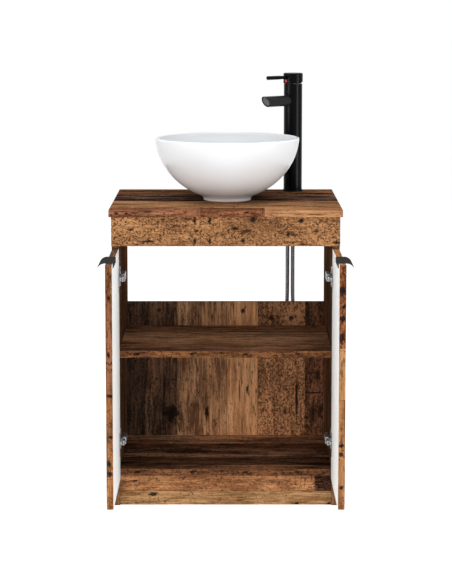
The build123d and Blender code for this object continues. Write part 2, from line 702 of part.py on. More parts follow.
def keep_basin_and_waste():
    """The basin, its flanged waste, the pop-up plug, the seal and the back nut."""
    x, y = basin_centre
    keep("basin", basin())
    floor_z = height + bowl_floor
    tail_z = worktop_under - waste_tail
    bore = waste_tube_r - waste_wall
    groove_z = tail_z + trap_thread
    groove = tube(waste_tube_r + 1, waste_tube_r - waste_groove, x, y, (groove_z, groove_z + waste_groove_w))
    body = rod(waste_flange_r, (x, y, floor_z), (x, y, floor_z + waste_flange_t))
    body = body + rod(waste_tube_r, (x, y, tail_z), (x, y, floor_z)) - groove
    body = body - rod(bore, (x, y, tail_z - 1), (x, y, floor_z + waste_flange_t + 1))
    guide_z = (height - guide_down - guide_h, height - guide_down)
    spider = rod(guide_r, (x, y, guide_z[0]), (x, y, guide_z[1]))
    for turn in (0, 60, 120):
        spoke = Pos(x, y, sum(guide_z) / 2) * Rot(0, 0, turn) * Box(2 * bore + 1, spoke_t, guide_h)
        spider = spider + spoke
    body = body + spider - rod(stem_r + pin_play, (x, y, guide_z[0] - 1), (x, y, guide_z[1] + 1))
    keep("waste_body", body)
    dome_z = floor_z + waste_flange_t
    ball_r = (plug_r ** 2 + plug_crown ** 2) / (2 * plug_crown)
    ball = Pos(x, y, dome_z + plug_t - ball_r) * Sphere(ball_r)
    dome = rod(plug_r, (x, y, dome_z), (x, y, dome_z + plug_t)) & ball
    keep("waste_plug", dome + rod(stem_r, (x, y, guide_z[0] - 6), (x, y, dome_z + 1)))
    seal_z = worktop_under - seal_t
    keep("waste_seal", tube(waste_flange_r, waste_tube_r, x, y, (seal_z, worktop_under)))
    nut = hexagon(2 * waste_flange_r - 4, x, y, (seal_z - waste_nut_h, seal_z))
    keep("waste_nut", nut - rod(waste_tube_r, (x, y, tail_z), (x, y, worktop_under)))


# ---- Tap: built with its spout along +X at the origin, then turned and set in place ----
def tap_place(shape):
    """Turn a tap piece to its aim and set it on the worktop."""
    return Pos(*tap_centre, height) * Rot(0, 0, tap_aim_deg) * shape


def past_spout():
    """Everything past the slanted plane across the spout's end."""
    top, low = spout_h + 2 * spout_r, spout_h - 2 * spout_r
    far = spout_reach + 60
    outline = Polyline((spout_reach + spout_cut / 2, top), (far, top), (far, low),
                       (spout_reach - 1.5 * spout_cut, low), close=True)
    return extrude(Plane.XZ * make_face(outline), amount=40, both=True)


def tap_spout():
    """The spout with a mitred end, an open bore and a saddle against the body."""
    bar = rod(spout_r, (0, 0, spout_h), (spout_reach + 10, 0, spout_h)) - past_spout()
    bar = bar - rod(tap_r, (0, 0, spout_h - 40), (0, 0, spout_h + 40))
    return bar - rod(spout_bore_r, (tap_r + 30, 0, spout_h), (spout_reach + 60, 0, spout_h))


def tap_aerator():
    """A mesh insert set back in the spout's mouth."""
    start = spout_reach - spout_cut - aerator_back
    plug = rod(spout_bore_r - aerator_fit, (start, 0, spout_h), (spout_reach + 10, 0, spout_h))
    return plug - Pos(-aerator_recess, 0, 0) * past_spout()


def tap_cap():
    """The hollow cap with a domed top and a wedge cut away behind the tilt axis."""
    low = tap_body_top + cap_gap
    blank = rod(cap_r, (0, 0, low), (0, 0, cap_top))
    blank = fillet(blank.edges().group_by(Axis.Z)[-1], 3.0)
    cap = blank - rod(cap_r - cap_wall, (0, 0, low - 1), (0, 0, cap_top - cap_wall - 1))
    z = tap_body_top
    back = cap_r + 5
    rise = back * math.tan(math.radians(lift_deg + lift_slack_deg))
    wedge = Polyline((0, z), (-back, z + rise), (-back, z - 5), (0, z - 5), close=True)
    return cap - extrude(Plane.XZ * make_face(wedge), amount=back, both=True)


def tap_lever():
    """The slim lever rod, a little waisted next to the cap."""
    root = math.sqrt(cap_r ** 2 - lever_r ** 2) - cap_wall / 2
    neck = Plane(origin=(root, 0, lever_h), z_dir=(1, 0, 0))
    run = lever_reach - root
    bar = loft([neck * Circle(lever_neck_r), neck.offset(run * 0.45) * Circle(lever_r)])
    bar = bar + extrude(neck.offset(run * 0.45) * Circle(lever_r), amount=run * 0.55)
    return fillet(bar.edges().group_by(Axis.X)[-1], 1.5)


def keep_tap():
    """All tap nodes, from the back nut to the lever."""
    z = tap_body_top
    seat_z = z - cartridge_down
    body = rod(tap_r, (0, 0, ring_h), (0, 0, z))
    body = body - rod(tap_r - tap_wall, (0, 0, 0), (0, 0, seat_z - cartridge_h - cartridge_floor))
    body = body - rod(cartridge_r, (0, 0, seat_z - cartridge_h), (0, 0, z + 1))
    ring = rod(ring_r, (0, 0, 0), (0, 0, ring_h))
    ring = fillet(ring.edges().group_by(Axis.Z)[-1], 1.0) - rod(shank_r, (0, 0, -1), (0, 0, ring_h + 1))
    cap, lever = tap_cap(), tap_lever()
    dot_z = lever_h - indicator_down
    indicator = rod(indicator_r, (cap_r - 1.2, 0, dot_z), (cap_r + 0.3, 0, dot_z))
    yoke = rod(yoke_r, (0, 0, seat_z), (0, 0, seat_z + yoke_t))
    for side in (-1, 1):
        cheek_y = sorted((side * yoke_in, side * yoke_out))
        yoke = yoke + block((-yoke_half, yoke_half), cheek_y, (seat_z + yoke_t, z + yoke_half))
    tilt_pin = rod(tilt_pin_r, (0, -yoke_out, z), (0, yoke_out, z))
    stem_half, stem_eye = stem_w / 2, yoke_in - 0.35
    stem = rod(yoke_half - 0.1, (0, -stem_eye, z), (0, stem_eye, z))
    stem = stem + block((-stem_half, stem_half), (-stem_half, stem_half), (z, cap_top - cap_wall - 1))
    stem = stem - rod(tilt_pin_r + pin_play, (0, -9, z), (0, 9, z))
    shank = tube(shank_r, shank_r - shank_wall, 0, 0, (-board - shank_len, ring_h))
    shank = shank + tube(tap_r - tap_wall, shank_r - shank_wall, 0, 0, (ring_h, ring_h + 5.0))
    hose_seat = -board - hose_seat_down
    shank = shank + rod(shank_r - shank_wall, (0, 0, hose_seat), (0, 0, hose_seat + hose_seat_t))
    gasket_z, washer_z = -board - gasket_t, -board - 2 * gasket_t
    nut = hexagon(2 * shank_r + tap_nut_over, 0, 0, (washer_z - tap_nut_h, washer_z))
    cartridge = rod(cartridge_r, (0, 0, seat_z - cartridge_h), (0, 0, seat_z))
    pieces = {"tap_base_ring": [ring],
              "tap_body": [body],
              "tap_spout": [tap_spout()],
              "tap_aerator": [tap_aerator()],
              "tap_cartridge": [cartridge],
              "tap_swivel": [yoke - tilt_pin, tilt_pin],
              "tap_stem": [stem],
              "tap_cap": [cap - lever - indicator],
              "tap_lever": [lever],
              "tap_indicator": [indicator],
              "tap_shank": [shank],
              "tap_gasket": [tube(shank_r + gasket_over, shank_r, 0, 0, (gasket_z, -board))],
              "tap_washer": [tube(shank_r + gasket_over, shank_r, 0, 0, (washer_z, gasket_z))],
              "tap_nut": [nut - rod(shank_r, (0, 0, -board - shank_len), (0, 0, 0))]}
    for name, shapes in pieces.items():
        keep(name, *[tap_place(shape) for shape in shapes])


# ---- Supply hoses: the route's points are chosen by hand, from the shank down behind the back panel
def hose_route(side):
    """Points of one hose, from inside the shank to its connector; side is -1 for cold, 1 for hot."""
    start, x, splay = tap_x + side * hose_spread, tap_x + hose_hang_x + side * hose_hang, side * hose_splay
    slack = 0.5
    across = (start, start, start * 0.45 + x * 0.55, x, x, x, x + splay * 0.4, x + splay, x + splay)
    back = (0, 0, slack, slack, 0, slack, 0, 0, 0)
    y = tap_centre[1]
    return [(x, y + b, worktop_under - down) for x, b, down in zip(across, back, hose_drops)]


def hose(route):
    """A hose as straight runs joined by arcs, with its radii and its volume check printed."""
    points = [Vector(*p) for p in route]
    radii = []
    for a, b, c in zip(points, points[1:], points[2:]):
        turn = math.radians((b - a).get_angle(c - b))
        radii.append(0.45 * min((b - a).length, (c - b).length) / math.tan(turn / 2))
    path = FilletPolyline(*points, radius=radii)
    first = Plane(origin=points[0], z_dir=points[1] - points[0])
    solid = sweep(first * Circle(hose_r), path=path)
    length = path.length
    print("hose length", round(length, 1), "radii", [round(r) for r in radii],
          "volume ratio", round(solid.volume / (math.pi * hose_r ** 2 * length), 4))
    return solid


def keep_hoses():
    """Both supply hoses and the connector nuts on their ends."""
    for name, side in (("cold", -1), ("hot", 1)):
        route = hose_route(side)
        keep(name + "_hose", hose(route))
        a, b = Vector(*route[-2]), Vector(*route[-1])
        end = Plane(origin=b, x_dir=(0, 1, 0), z_dir=b - a)
        nut = extrude(end * RegularPolygon(hose_nut_af / 2, 6, major_radius=False), amount=hose_nut_h)
        thread = extrude(end.offset(hose_nut_h - hose_thread) * Circle(hose_nut_bore), amount=hose_nut_h)
        keep(name + "_hose_nut", nut - thread)


keep_carcass()
keep_hinges_and_doors()
keep_basin_and_waste()
keep_tap()
keep_hoses()

os.makedirs("parts", exist_ok=True)
for name, shape in nodes.items():
    export_step(shape, f"parts/{name}.step")
print(len(nodes), "nodes; long link swing", round(long_swing, 3), "short link swing", round(short_swing, 3),
      "arm pins", long_arm_pin, short_arm_pin)
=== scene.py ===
# %% [markdown]
# # A bathroom vanity with a vessel basin
# A flat-pack cabinet stands on the floor with both doors open. A round basin and a tall mixer tap
# stand on its worktop, and two braided hoses hang behind the back panel. The exact solids come from
# the CAD model. This lesson gives every board, fitting and tube its finish, and rebuilds the pieces
# that gain from smoother shapes. All sizes below are in millimetres unless a name ends in _m.

# %% Load the cabinet's solids
import json
import math

import bmesh
import bpy
from mathutils import Matrix, Vector

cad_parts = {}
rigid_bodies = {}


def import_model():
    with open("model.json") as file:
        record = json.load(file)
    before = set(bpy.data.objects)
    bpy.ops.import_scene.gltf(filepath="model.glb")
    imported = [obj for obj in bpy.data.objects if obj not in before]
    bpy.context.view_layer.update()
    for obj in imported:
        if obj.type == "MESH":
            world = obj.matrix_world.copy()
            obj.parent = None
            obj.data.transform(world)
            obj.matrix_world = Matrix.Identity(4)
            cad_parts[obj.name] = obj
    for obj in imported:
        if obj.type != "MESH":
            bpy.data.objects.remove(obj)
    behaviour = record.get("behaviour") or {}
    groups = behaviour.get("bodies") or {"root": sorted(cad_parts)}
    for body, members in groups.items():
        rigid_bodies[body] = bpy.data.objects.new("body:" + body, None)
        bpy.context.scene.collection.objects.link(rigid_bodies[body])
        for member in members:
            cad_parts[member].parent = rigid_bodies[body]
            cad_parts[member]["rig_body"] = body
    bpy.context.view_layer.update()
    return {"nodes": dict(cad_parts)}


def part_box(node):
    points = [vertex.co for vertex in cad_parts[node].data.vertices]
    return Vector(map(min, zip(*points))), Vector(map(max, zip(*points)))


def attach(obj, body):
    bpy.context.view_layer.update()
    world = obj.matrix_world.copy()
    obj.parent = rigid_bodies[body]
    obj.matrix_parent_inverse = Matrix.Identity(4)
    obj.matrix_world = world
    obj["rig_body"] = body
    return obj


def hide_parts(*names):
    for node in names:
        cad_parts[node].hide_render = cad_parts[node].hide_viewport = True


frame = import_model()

MM = 0.001
nodes = frame["nodes"]
body_of_node = {name: solid["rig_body"] for name, solid in nodes.items()}

# %% [markdown]
# ## The camera
# The cabinet was set up as for a catalogue: the camera stands straight in front, a little above the
# basin's rim, and looks slightly down. A long lens keeps the upright edges nearly parallel. The
# lens is shifted, so the cabinet sits well in the frame without tilting the camera further.

# %% Set up the camera
lens_mm, sensor_mm = 113.09, 36
shift_right, shift_up = 0.0005, -0.15       # in shares of the sensor's width
camera_place_m = (0, -4.3947, 1.2487)
camera_tilt = 83.407                        # degrees; 90 would look level

camera_data = bpy.data.cameras.new("catalogue_camera")
camera_data.lens, camera_data.sensor_width = lens_mm, sensor_mm
camera_data.shift_x, camera_data.shift_y = shift_right, shift_up
camera = bpy.data.objects.new("catalogue_camera", camera_data)
camera.location = camera_place_m
camera.rotation_euler = (math.radians(camera_tilt), 0, 0)
bpy.context.scene.collection.objects.link(camera)
bpy.context.scene.camera = camera
print("camera lens", camera_data.lens)

# %% [markdown]
# ## Small helpers
# Every material and every Geometry Nodes tree in this lesson is built in code. One helper adds a
# node, sets its properties and feeds its sockets. Another turns a colour as a screen shows it,
# 0 to 255, into the linear values that Blender calculates with. The rest put plain names on the
# sums that nodes do, so that a long chain of them can still be read.


# %% Helpers for nodes and colours
def add(tree, kind, inputs=None, **settings):
    """Add a node, set its properties, and set or link its inputs by name or number."""
    node = tree.nodes.new(kind)
    for name, value in settings.items():
        setattr(node, name, value)
    for key, value in (inputs or {}).items():
        if isinstance(value, bpy.types.NodeSocket):
            tree.links.new(value, node.inputs[key])
        else:
            node.inputs[key].default_value = value
    return node


def colour(red, green, blue):
    """A screen colour as linear values."""
    parts = [c / 255 for c in (red, green, blue)]
    return [c / 12.92 if c <= 0.04045 else ((c + 0.055) / 1.055) ** 2.4 for c in parts] + [1.0]


def calc(tree, operation, a, b=0.0):
    """The result of one sum on two numbers or sockets."""
    return add(tree, "ShaderNodeMath", {0: a, 1: b}, operation=operation).outputs[0]


def plus(tree, a, b):
    """a + b"""
    return calc(tree, "ADD", a, b)


def minus(tree, a, b):
    """a - b"""
    return calc(tree, "SUBTRACT", a, b)


def times(tree, a, b):
    """a x b"""
    return calc(tree, "MULTIPLY", a, b)


def larger(tree, a, b):
    """The larger of a and b."""
    return calc(tree, "MAXIMUM", a, b)


def vector_calc(tree, operation, a, b=(0, 0, 0)):
    """The vector that one sum on two vectors gives."""
    return add(tree, "ShaderNodeVectorMath", {0: a, 1: b}, operation=operation).outputs[0]


def distance_along(tree, place, direction):
    """How far a place lies along a direction: their dot product."""
    sockets = {0: place, 1: direction}
    return add(tree, "ShaderNodeVectorMath", sockets, operation="DOT_PRODUCT").outputs["Value"]


def clamped(tree, value):
    """A value held between 0 and 1."""
    return add(tree, "ShaderNodeClamp", {0: value}).outputs[0]


def object_place(tree):
    """Where a shaded point is in its object, in metres."""
    return add(tree, "ShaderNodeTexCoord").outputs["Object"]


def mixed(tree, amount, a, b, how="MIX"):
    """Two colours mixed by an amount."""
    node = add(tree, "ShaderNodeMix", {0: amount, 6: a, 7: b}, data_type="RGBA", blend_type=how)
    return node.outputs[2]


def between(tree, value, low, high):
    """A smooth 0 to 1 step as a value goes from low to high."""
    sockets = {"Value": value, "From Min": low, "From Max": high}
    return add(tree, "ShaderNodeMapRange", sockets, interpolation_type="SMOOTHSTEP").outputs[0]


def either(tree, test, a, b):
    """A number a where the test is 0, and b where it is 1."""
    return add(tree, "ShaderNodeMix", {0: test, 2: a, 3: b}, data_type="FLOAT").outputs[0]


def new_material(name):
    """An empty material with a Principled shader."""
    material = bpy.data.materials.new(name)
    material.use_nodes = True
    tree = material.node_tree
    return material, tree, tree.nodes["Principled BSDF"]


def paint(material, *names):
    """Give a finish to pieces of the CAD model."""
    for name in names:
        nodes[name].data.materials.clear()
        nodes[name].data.materials.append(material)


print("helpers ready; mid grey", round(colour(128, 128, 128)[0], 3))

# %% [markdown]
# ## The old wood print
# The boards are chipboard with a printed foil that shows planks of old wood: soft drifts of tone,
# streaks and fibres, thin cracks along the grain, small curled flecks and, on some planks, regular
# ridges. An image could show it, but a procedural print keeps its scale on every board and never
# repeats. One node group draws it for any plank. Its vector runs along the grain, across it, and
# through a third axis that only picks another stretch of the same noise. A crack or a fleck is a
# thin line where a noise crosses its middle value, broken into dashes by a second noise. A much
# flecked plank has weaker streaks and cracks, because its foil shows pressed flakes instead.


# %% Node group: old wood print
def sockets_of(tree, inputs, outputs):
    for name, kind, value in inputs:
        socket = tree.interface.new_socket(name, in_out="INPUT", socket_type=kind)
        if value is not None:
            socket.default_value = value
    for name, kind in outputs:
        tree.interface.new_socket(name, in_out="OUTPUT", socket_type=kind)


def wood_noise(tree, grain, along, across, detail):
    """A noise whose blobs are about this long and wide in millimetres."""
    stretched = vector_calc(tree, "MULTIPLY", grain, (1 / along, 1 / across, 1))
    sockets = {"Vector": stretched, "Scale": 1.0, "Detail": detail}
    return add(tree, "ShaderNodeTexNoise", sockets).outputs["Fac"]


def thin_line(tree, value, half_width):
    """1 where a noise crosses its middle value, and 0 from half_width away."""
    away = calc(tree, "ABSOLUTE", minus(tree, value, 0.5))
    return between(tree, away, half_width, half_width * 0.25)


def strengthened(tree, value, factor):
    """A noise's swing about its middle value, times a factor."""
    return times(tree, minus(tree, value, 0.5), factor)


def wood_tone(tree, grain, flecks, ridges, calm):
    """0 for the plank's dark tone to 1 for its light one."""
    streaks = ((130, 9.0, 3.0), (42, 3.6, 2.4))         # length, width, strength
    ridge_pitch, ridge_drift, ridge_strength = 3.9, 9.0, 0.3
    drift = wood_noise(tree, grain, 170, 42, 3)
    tone = strengthened(tree, drift, 2.6)
    for along, across, strength in streaks:
        streak = strengthened(tree, wood_noise(tree, grain, along, across, 3), strength)
        tone = plus(tree, tone, times(tree, streak, calm))
    across_grain = add(tree, "ShaderNodeSeparateXYZ", {0: grain}).outputs[1]
    wavy = plus(tree, times(tree, across_grain, 2 * math.pi / ridge_pitch),
                times(tree, drift, ridge_drift))
    ridge = times(tree, calc(tree, "SINE", wavy), ridges)
    tone = plus(tree, tone, times(tree, ridge, ridge_strength))
    mottle = times(tree, strengthened(tree, wood_noise(tree, grain, 7, 5, 2), 2.6), flecks)
    return clamped(tree, plus(tree, plus(tree, tone, mottle), 0.5))


def wood_flecks(tree, grain, flecks):
    """Short curled lines that come in crowds, more of them as flecks goes up."""
    crowd = times(tree, minus(tree, wood_noise(tree, grain, 60, 34, 2), 0.5), 0.5)
    limit = minus(tree, plus(tree, 0.73, crowd), times(tree, flecks, 0.30))
    sockets = {"Value": wood_noise(tree, grain, 9, 8, 1), "From Min": limit,
               "From Max": plus(tree, limit, 0.05)}
    dashes = add(tree, "ShaderNodeMapRange", sockets).outputs[0]
    return times(tree, thin_line(tree, wood_noise(tree, grain, 7.4, 5.8, 2), 0.07), dashes)


def wood_dirt(tree, grain, flecks, calm):
    """0 for clean wood to 1 for cracks, smears, pores, curled flecks and blots."""

    def patches(along, across, detail, low, high):
        return between(tree, wood_noise(tree, grain, along, across, detail), low, high)

    cracks = thin_line(tree, wood_noise(tree, grain, 120, 9, 2), 0.035)
    cracks = times(tree, cracks, patches(60, 14, 1, 0.46, 0.54))
    smears = times(tree, patches(85, 9, 4, 0.58, 0.70), clamped(tree, times(tree, flecks, 2.2)))
    dirt = times(tree, larger(tree, cracks, smears), times(tree, calm, 0.85))
    for part in (times(tree, patches(9, 1.4, 1, 0.60, 0.68), 0.6),
                 wood_flecks(tree, grain, flecks),
                 times(tree, patches(34, 15, 4, 0.60, 0.70), flecks)):
        dirt = larger(tree, dirt, part)
    return dirt


def old_wood_print():
    """Build the group that draws one plank."""
    tree = bpy.data.node_groups.new("old wood print", "ShaderNodeTree")
    sockets_of(tree, [("Grain", "NodeSocketVector", None), ("Light", "NodeSocketColor", None),
                      ("Dark", "NodeSocketColor", None), ("Flecks", "NodeSocketFloat", 0.3),
                      ("Ridges", "NodeSocketFloat", 0.0)],
               [("Color", "NodeSocketColor"), ("Relief", "NodeSocketFloat")])
    grain, light, dark, flecks, ridges = add(tree, "NodeGroupInput").outputs[:5]
    calm = minus(tree, 1.0, times(tree, times(tree, flecks, flecks), 0.7))
    tone = wood_tone(tree, grain, flecks, ridges, calm)
    dirt = wood_dirt(tree, grain, flecks, calm)
    soot = mixed(tree, 1.0, dark, (0.27, 0.24, 0.23, 1.0), "MULTIPLY")
    done = mixed(tree, dirt, mixed(tree, tone, dark, light), soot)
    add(tree, "NodeGroupOutput", {"Color": done, "Relief": minus(tree, tone, dirt)})
    return tree


wood_print = old_wood_print()
print("node group:", wood_print.name, "with", len(wood_print.nodes), "nodes")


# %% Node group: knot mark
def knot_mark():
    """Build the group that masks one knot, nail or crack: an ellipse with a frayed edge."""
    fray_scale, fray_depth = 1.8, 2.0
    clear_from, full_below = 2.1, 1.5       # frayed distance from the middle, in half sizes
    tree = bpy.data.node_groups.new("knot mark", "ShaderNodeTree")
    sockets_of(tree, [("Grain", "NodeSocketVector", None), ("Centre", "NodeSocketVector", None),
                      ("Half Size", "NodeSocketVector", (5.0, 3.0, 1.0))],
               [("Mask", "NodeSocketFloat")])
    grain, centre, half_size = add(tree, "NodeGroupInput").outputs[:3]
    flat = vector_calc(tree, "MULTIPLY", grain, (1, 1, 0))
    share = vector_calc(tree, "DIVIDE", vector_calc(tree, "SUBTRACT", flat, centre), half_size)
    length = add(tree, "ShaderNodeVectorMath", {0: share}, operation="LENGTH").outputs["Value"]
    fray = add(tree, "ShaderNodeTexNoise", {"Vector": share, "Scale": fray_scale, "Detail": 4.0})
    edge = plus(tree, length, times(tree, fray.outputs["Fac"], fray_depth))
    add(tree, "NodeGroupOutput", {"Mask": between(tree, edge, clear_from, full_below)})
    return tree


knot = knot_mark()
print("node group:", knot.name)

# %% [markdown]
# ## Boards made of printed planks
# A board's print is a few rows of planks, and a row may change plank along its length. Each plank
# is a light tone, a dark tone, and how speckled and how ridged it is. Constant colour ramps hold
# these tables, because a ramp with hard steps is the plainest way to pick a value by position. The
# grain direction is a dot product with the object coordinates, so one function serves boards that
# lie, stand, or turn a corner at their front edge. On top come single marks: knots, nail heads,
# long cracks and smears, each with its place along and across the grain and its half sizes.


# %% Look up planks by position
FAR = 800.0         # no board reaches this far along its grain from the origin


def steps(tree, place, rows):
    """Look up a colour by position along the grain from a list of (start, colour)."""
    factor = add(tree, "ShaderNodeMapRange", {"Value": place, "From Min": -FAR, "From Max": FAR})
    ramp = add(tree, "ShaderNodeValToRGB", {0: factor.outputs[0]})
    ramp.color_ramp.interpolation = "CONSTANT"
    elements = ramp.color_ramp.elements
    while len(elements) > 1:
        elements.remove(elements[-1])
    for number, (start, value) in enumerate(rows):
        share = min(max((start + FAR) / (2 * FAR), 0.0), 1.0)
        element = elements[0] if number == 0 else elements.new(share)
        element.position, element.color = share, value
    return ramp.outputs[0]


def joint_line(tree, place, at):
    """1 at a joint between planks, fading to 0 within a millimetre."""
    near = calc(tree, "ABSOLUTE", minus(tree, place, at))
    return between(tree, near, 1.0, 0.2)


def plank_tables(planks, plank_row):
    """A row's light tones, dark tones and traits, each as a list of (start, colour)."""
    starts = [plank[0] for plank in planks]
    lights, darks = [[colour(*plank[k]) for plank in planks] for k in (1, 2)]
    seeds = [(0.17 * plank_row + 0.31 * k + 0.05) % 1.0 for k in range(len(planks))]
    traits = [(plank[3], plank[4], seed, 1.0) for plank, seed in zip(planks, seeds)]
    return [list(zip(starts, column)) for column in (lights, darks, traits)]


def planks_at(tree, u, v, rows):
    """Light tone, dark tone, traits and joints of the planks at a place."""
    found, joints, plank_row = None, 0.0, -1
    for number, (start, planks) in enumerate(rows):
        slow = isinstance(start, tuple)
        plank_row += 0 if slow else 1
        here = [steps(tree, u, table) for table in plank_tables(planks, plank_row)]
        if found is None:
            found = here
        else:
            inside = between(tree, v, *start) if slow else calc(tree, "GREATER_THAN", v, start)
            found = [mixed(tree, inside, a, b) for a, b in zip(found, here)]
            if not slow:
                joints = larger(tree, joints, joint_line(tree, v, start))
        for plank in planks[1:]:
            line = joint_line(tree, u, plank[0])
            line = times(tree, line, calc(tree, "GREATER_THAN", v, start))
            if number + 1 < len(rows):
                line = times(tree, line, calc(tree, "LESS_THAN", v, rows[number + 1][0]))
            joints = larger(tree, joints, line)
    return (*found, joints)


print("planks are looked up from", -FAR, "to", FAR, "mm")


# %% Build a plank board's material
def plank_board(name, along, across, rows, marks=(), painted_light_lift=1.0, turned=(0, 0), band=None,
                sheen=0.06):
    """A board material.

    along, across: the grain's direction and the direction of the rows; turned shifts both.
    rows: (start across, [(start along, light, dark, flecks, ridges), ...]). A start of two numbers
    is a slow change of tone within a plank.
    marks: (along, across, half length, half width) and, if it isn't full, how dark the mark is.
    painted_light_lift: multiplies the print but not its marks; painted light for boards in shade.
    band: the board's two ends along the grain, the direction its end bands run in, and where in
    the rows they are taken.
    """
    joint_depth, mark_depth, end_depth = 0.7, 0.94, 0.3
    material, tree, shader = new_material(name)
    place = object_place(tree)

    def run(axis, shift):
        return plus(tree, distance_along(tree, place, [part / MM for part in axis]), shift)

    u, v = run(along, turned[0]), run(across, turned[1])
    if band:
        (low_end, high_end), band_axis, band_row = band
        thickness = Vector(along).cross(Vector(band_axis))
        ends = larger(tree, calc(tree, "LESS_THAN", u, low_end + end_depth),
                      calc(tree, "GREATER_THAN", u, high_end - end_depth))
        u, v = (either(tree, ends, u, run(band_axis, 0)),
                either(tree, ends, v, run(thickness, band_row)))
    light, dark, traits, joints = planks_at(tree, u, v, rows)
    flecks, ridges, seed = add(tree, "ShaderNodeSeparateColor", {0: traits}).outputs[:3]
    stretch = times(tree, seed, 40.0)
    grain = add(tree, "ShaderNodeCombineXYZ", {0: u, 1: v, 2: stretch}).outputs[0]
    sockets = {"Grain": grain, "Light": light, "Dark": dark, "Flecks": flecks, "Ridges": ridges}
    drawn = add(tree, "ShaderNodeGroup", node_tree=wood_print)
    for key, value in sockets.items():
        tree.links.new(value, drawn.inputs[key])
    spots = times(tree, joints, joint_depth)
    for along_at, across_at, half_u, half_v, *depth in marks:
        mark = add(tree, "ShaderNodeGroup", node_tree=knot)
        tree.links.new(grain, mark.inputs["Grain"])
        mark.inputs["Centre"].default_value = (along_at, across_at, 0)
        mark.inputs["Half Size"].default_value = (half_u, half_v, 1)
        burn = times(tree, mark.outputs[0], *depth) if depth else mark.outputs[0]
        spots = larger(tree, spots, burn)
    # painted light: the print is lifted to stand in for light on boards in shade inside the cabinet
    bright = (painted_light_lift, painted_light_lift, painted_light_lift, 1.0)
    lit = mixed(tree, 1.0, drawn.outputs["Color"], bright, "MULTIPLY")
    lit = mixed(tree, times(tree, spots, mark_depth), lit, colour(18, 12, 10))
    relief = minus(tree, drawn.outputs["Relief"], spots)
    bump = add(tree, "ShaderNodeBump", {"Strength": 0.3, "Distance": 0.3 * MM, "Height": relief})
    tree.links.new(lit, shader.inputs["Base Color"])
    tree.links.new(bump.outputs[0], shader.inputs["Normal"])
    shader.inputs["Roughness"].default_value = 0.6
    shader.inputs["Specular IOR Level"].default_value = sheen
    return material


def one_plank(light, dark, flecks, ridges):
    """A row that is the same plank all along."""
    return [(-FAR, light, dark, flecks, ridges)]


X, Y, Z = (1, 0, 0), (0, 1, 0), (0, 0, 1)
print("plank boards can be built along", X, Y, "and", Z)

# %% [markdown]
# ## The worktop
# The worktop shows four rows of planks: russet and pale pine ones along the rounded front edge, a
# middle row, a nearly black one under the basin, and a brown one at the back. The print runs on
# round the front edge, so height counts as depth there. Long thin marks give the dark rows their
# streaks.


# %% Worktop print
def ends_of(node, axis):
    """Where a board ends along an axis, in millimetres."""
    low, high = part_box(node)
    return low[axis] / MM, high[axis] / MM


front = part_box("worktop")[0].y / MM
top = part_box("worktop")[1].z / MM
worktop_rows = [
    (-200, [(-FAR, (163, 110, 79), (95, 59, 41), 0.55, 0.1),
            (-66, (148, 96, 66), (84, 50, 34), 0.6, 0.1),
            (89, (189, 140, 97), (148, 102, 68), 0.25, 0.2)]),
    (front + 52, [(-FAR, (196, 142, 99), (118, 84, 57), 0.4, 0.1),
                  (20, (184, 134, 92), (112, 78, 54), 0.45, 0.1)]),
    (front + 199, one_plank((134, 100, 82), (25, 19, 19), 0.5, 0.0)),
    (front + 345, one_plank((148, 102, 70), (48, 31, 23), 0.5, 0.1))]
worktop_knots = [(-262, -7, 6, 3.5), (-238, -7, 5, 3), (-188, -2, 18, 2), (-35, 60, 11, 6),
                 (-120, 20, 9, 3), (50, -4, 8, 3)]
worktop_streaks = [(-225, 235, 85, 13, 0.9), (-160, 305, 100, 14, 0.9), (130, 232, 80, 12, 0.9),
                   (222, 300, 70, 16, 0.9), (-190, 385, 70, 9, 0.8), (215, 378, 60, 10, 0.8),
                   (-190, 130, 45, 3.5, 0.8), (165, 115, 50, 3.5, 0.8), (70, 80, 34, 3, 0.8),
                   (-252, 58, 30, 7, 0.8), (245, 160, 34, 4, 0.7)]
worktop_marks = [(x, front + y, *rest) for x, y, *rest in worktop_knots + worktop_streaks]
worktop_print = plank_board("printed plank worktop", X, (0, 1, 1), worktop_rows, worktop_marks,
                            turned=(0, -top), band=(ends_of("worktop", 0), Y, -950), sheen=0.0)
paint(worktop_print, "worktop")
print("worktop front edge at", round(front, 1), "mm")

# %% [markdown]
# ## The apron and the plinth
# The apron under the worktop is one wide plank of pressed flakes with pairs of nail heads. The
# plinth has two planks, one above the other, and the upper one ends in a short dark piece.

# %% Prints of the apron and the plinth
nail_places = ((-74, 706), (-74, 656.6), (-38.5, 704), (-38.5, 656.6))
apron_marks = [(x, z, 5.0, 9.0) for x, z in nail_places]
apron_marks += [(66, 708, 9, 8), (22, 686, 10, 5), (42, 657, 6, 6), (181, 705, 9, 6),
                (-185, 655, 18, 3.5), (150, 672, 5, 9), (268, 652, 14, 4), (-70, 680, 6, 3)]
apron_rows = [(-200, one_plank((187, 135, 89), (122, 83, 54), 1.0, 0.0))]
apron_print = plank_board("printed flake apron", X, (0, -1, 1), apron_rows, apron_marks,
                          turned=(0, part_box("front_apron")[0].y / MM),
                          band=(ends_of("front_apron", 0), Z, 0))
paint(apron_print, "front_apron")

plinth_rows = [(-200, one_plank((193, 148, 104), (137, 98, 60), 0.35, 0.25)),
               (35, [(-FAR, (204, 145, 97), (136, 88, 56), 0.55, 0.0),
                     (217, (104, 64, 40), (36, 23, 18), 0.9, 0.0)])]
plinth_marks = [(-178, 27, 14, 6), (174, 3, 7, 5), (254, 3, 6, 5), (-222, 60, 9, 3)]
plinth_print = plank_board("printed plinth planks", X, (0, -1, 1), plinth_rows, plinth_marks,
                           turned=(0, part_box("plinth")[0].y / MM))
paint(plinth_print, "plinth")
print("painted:", apron_print.name, "and", plinth_print.name)
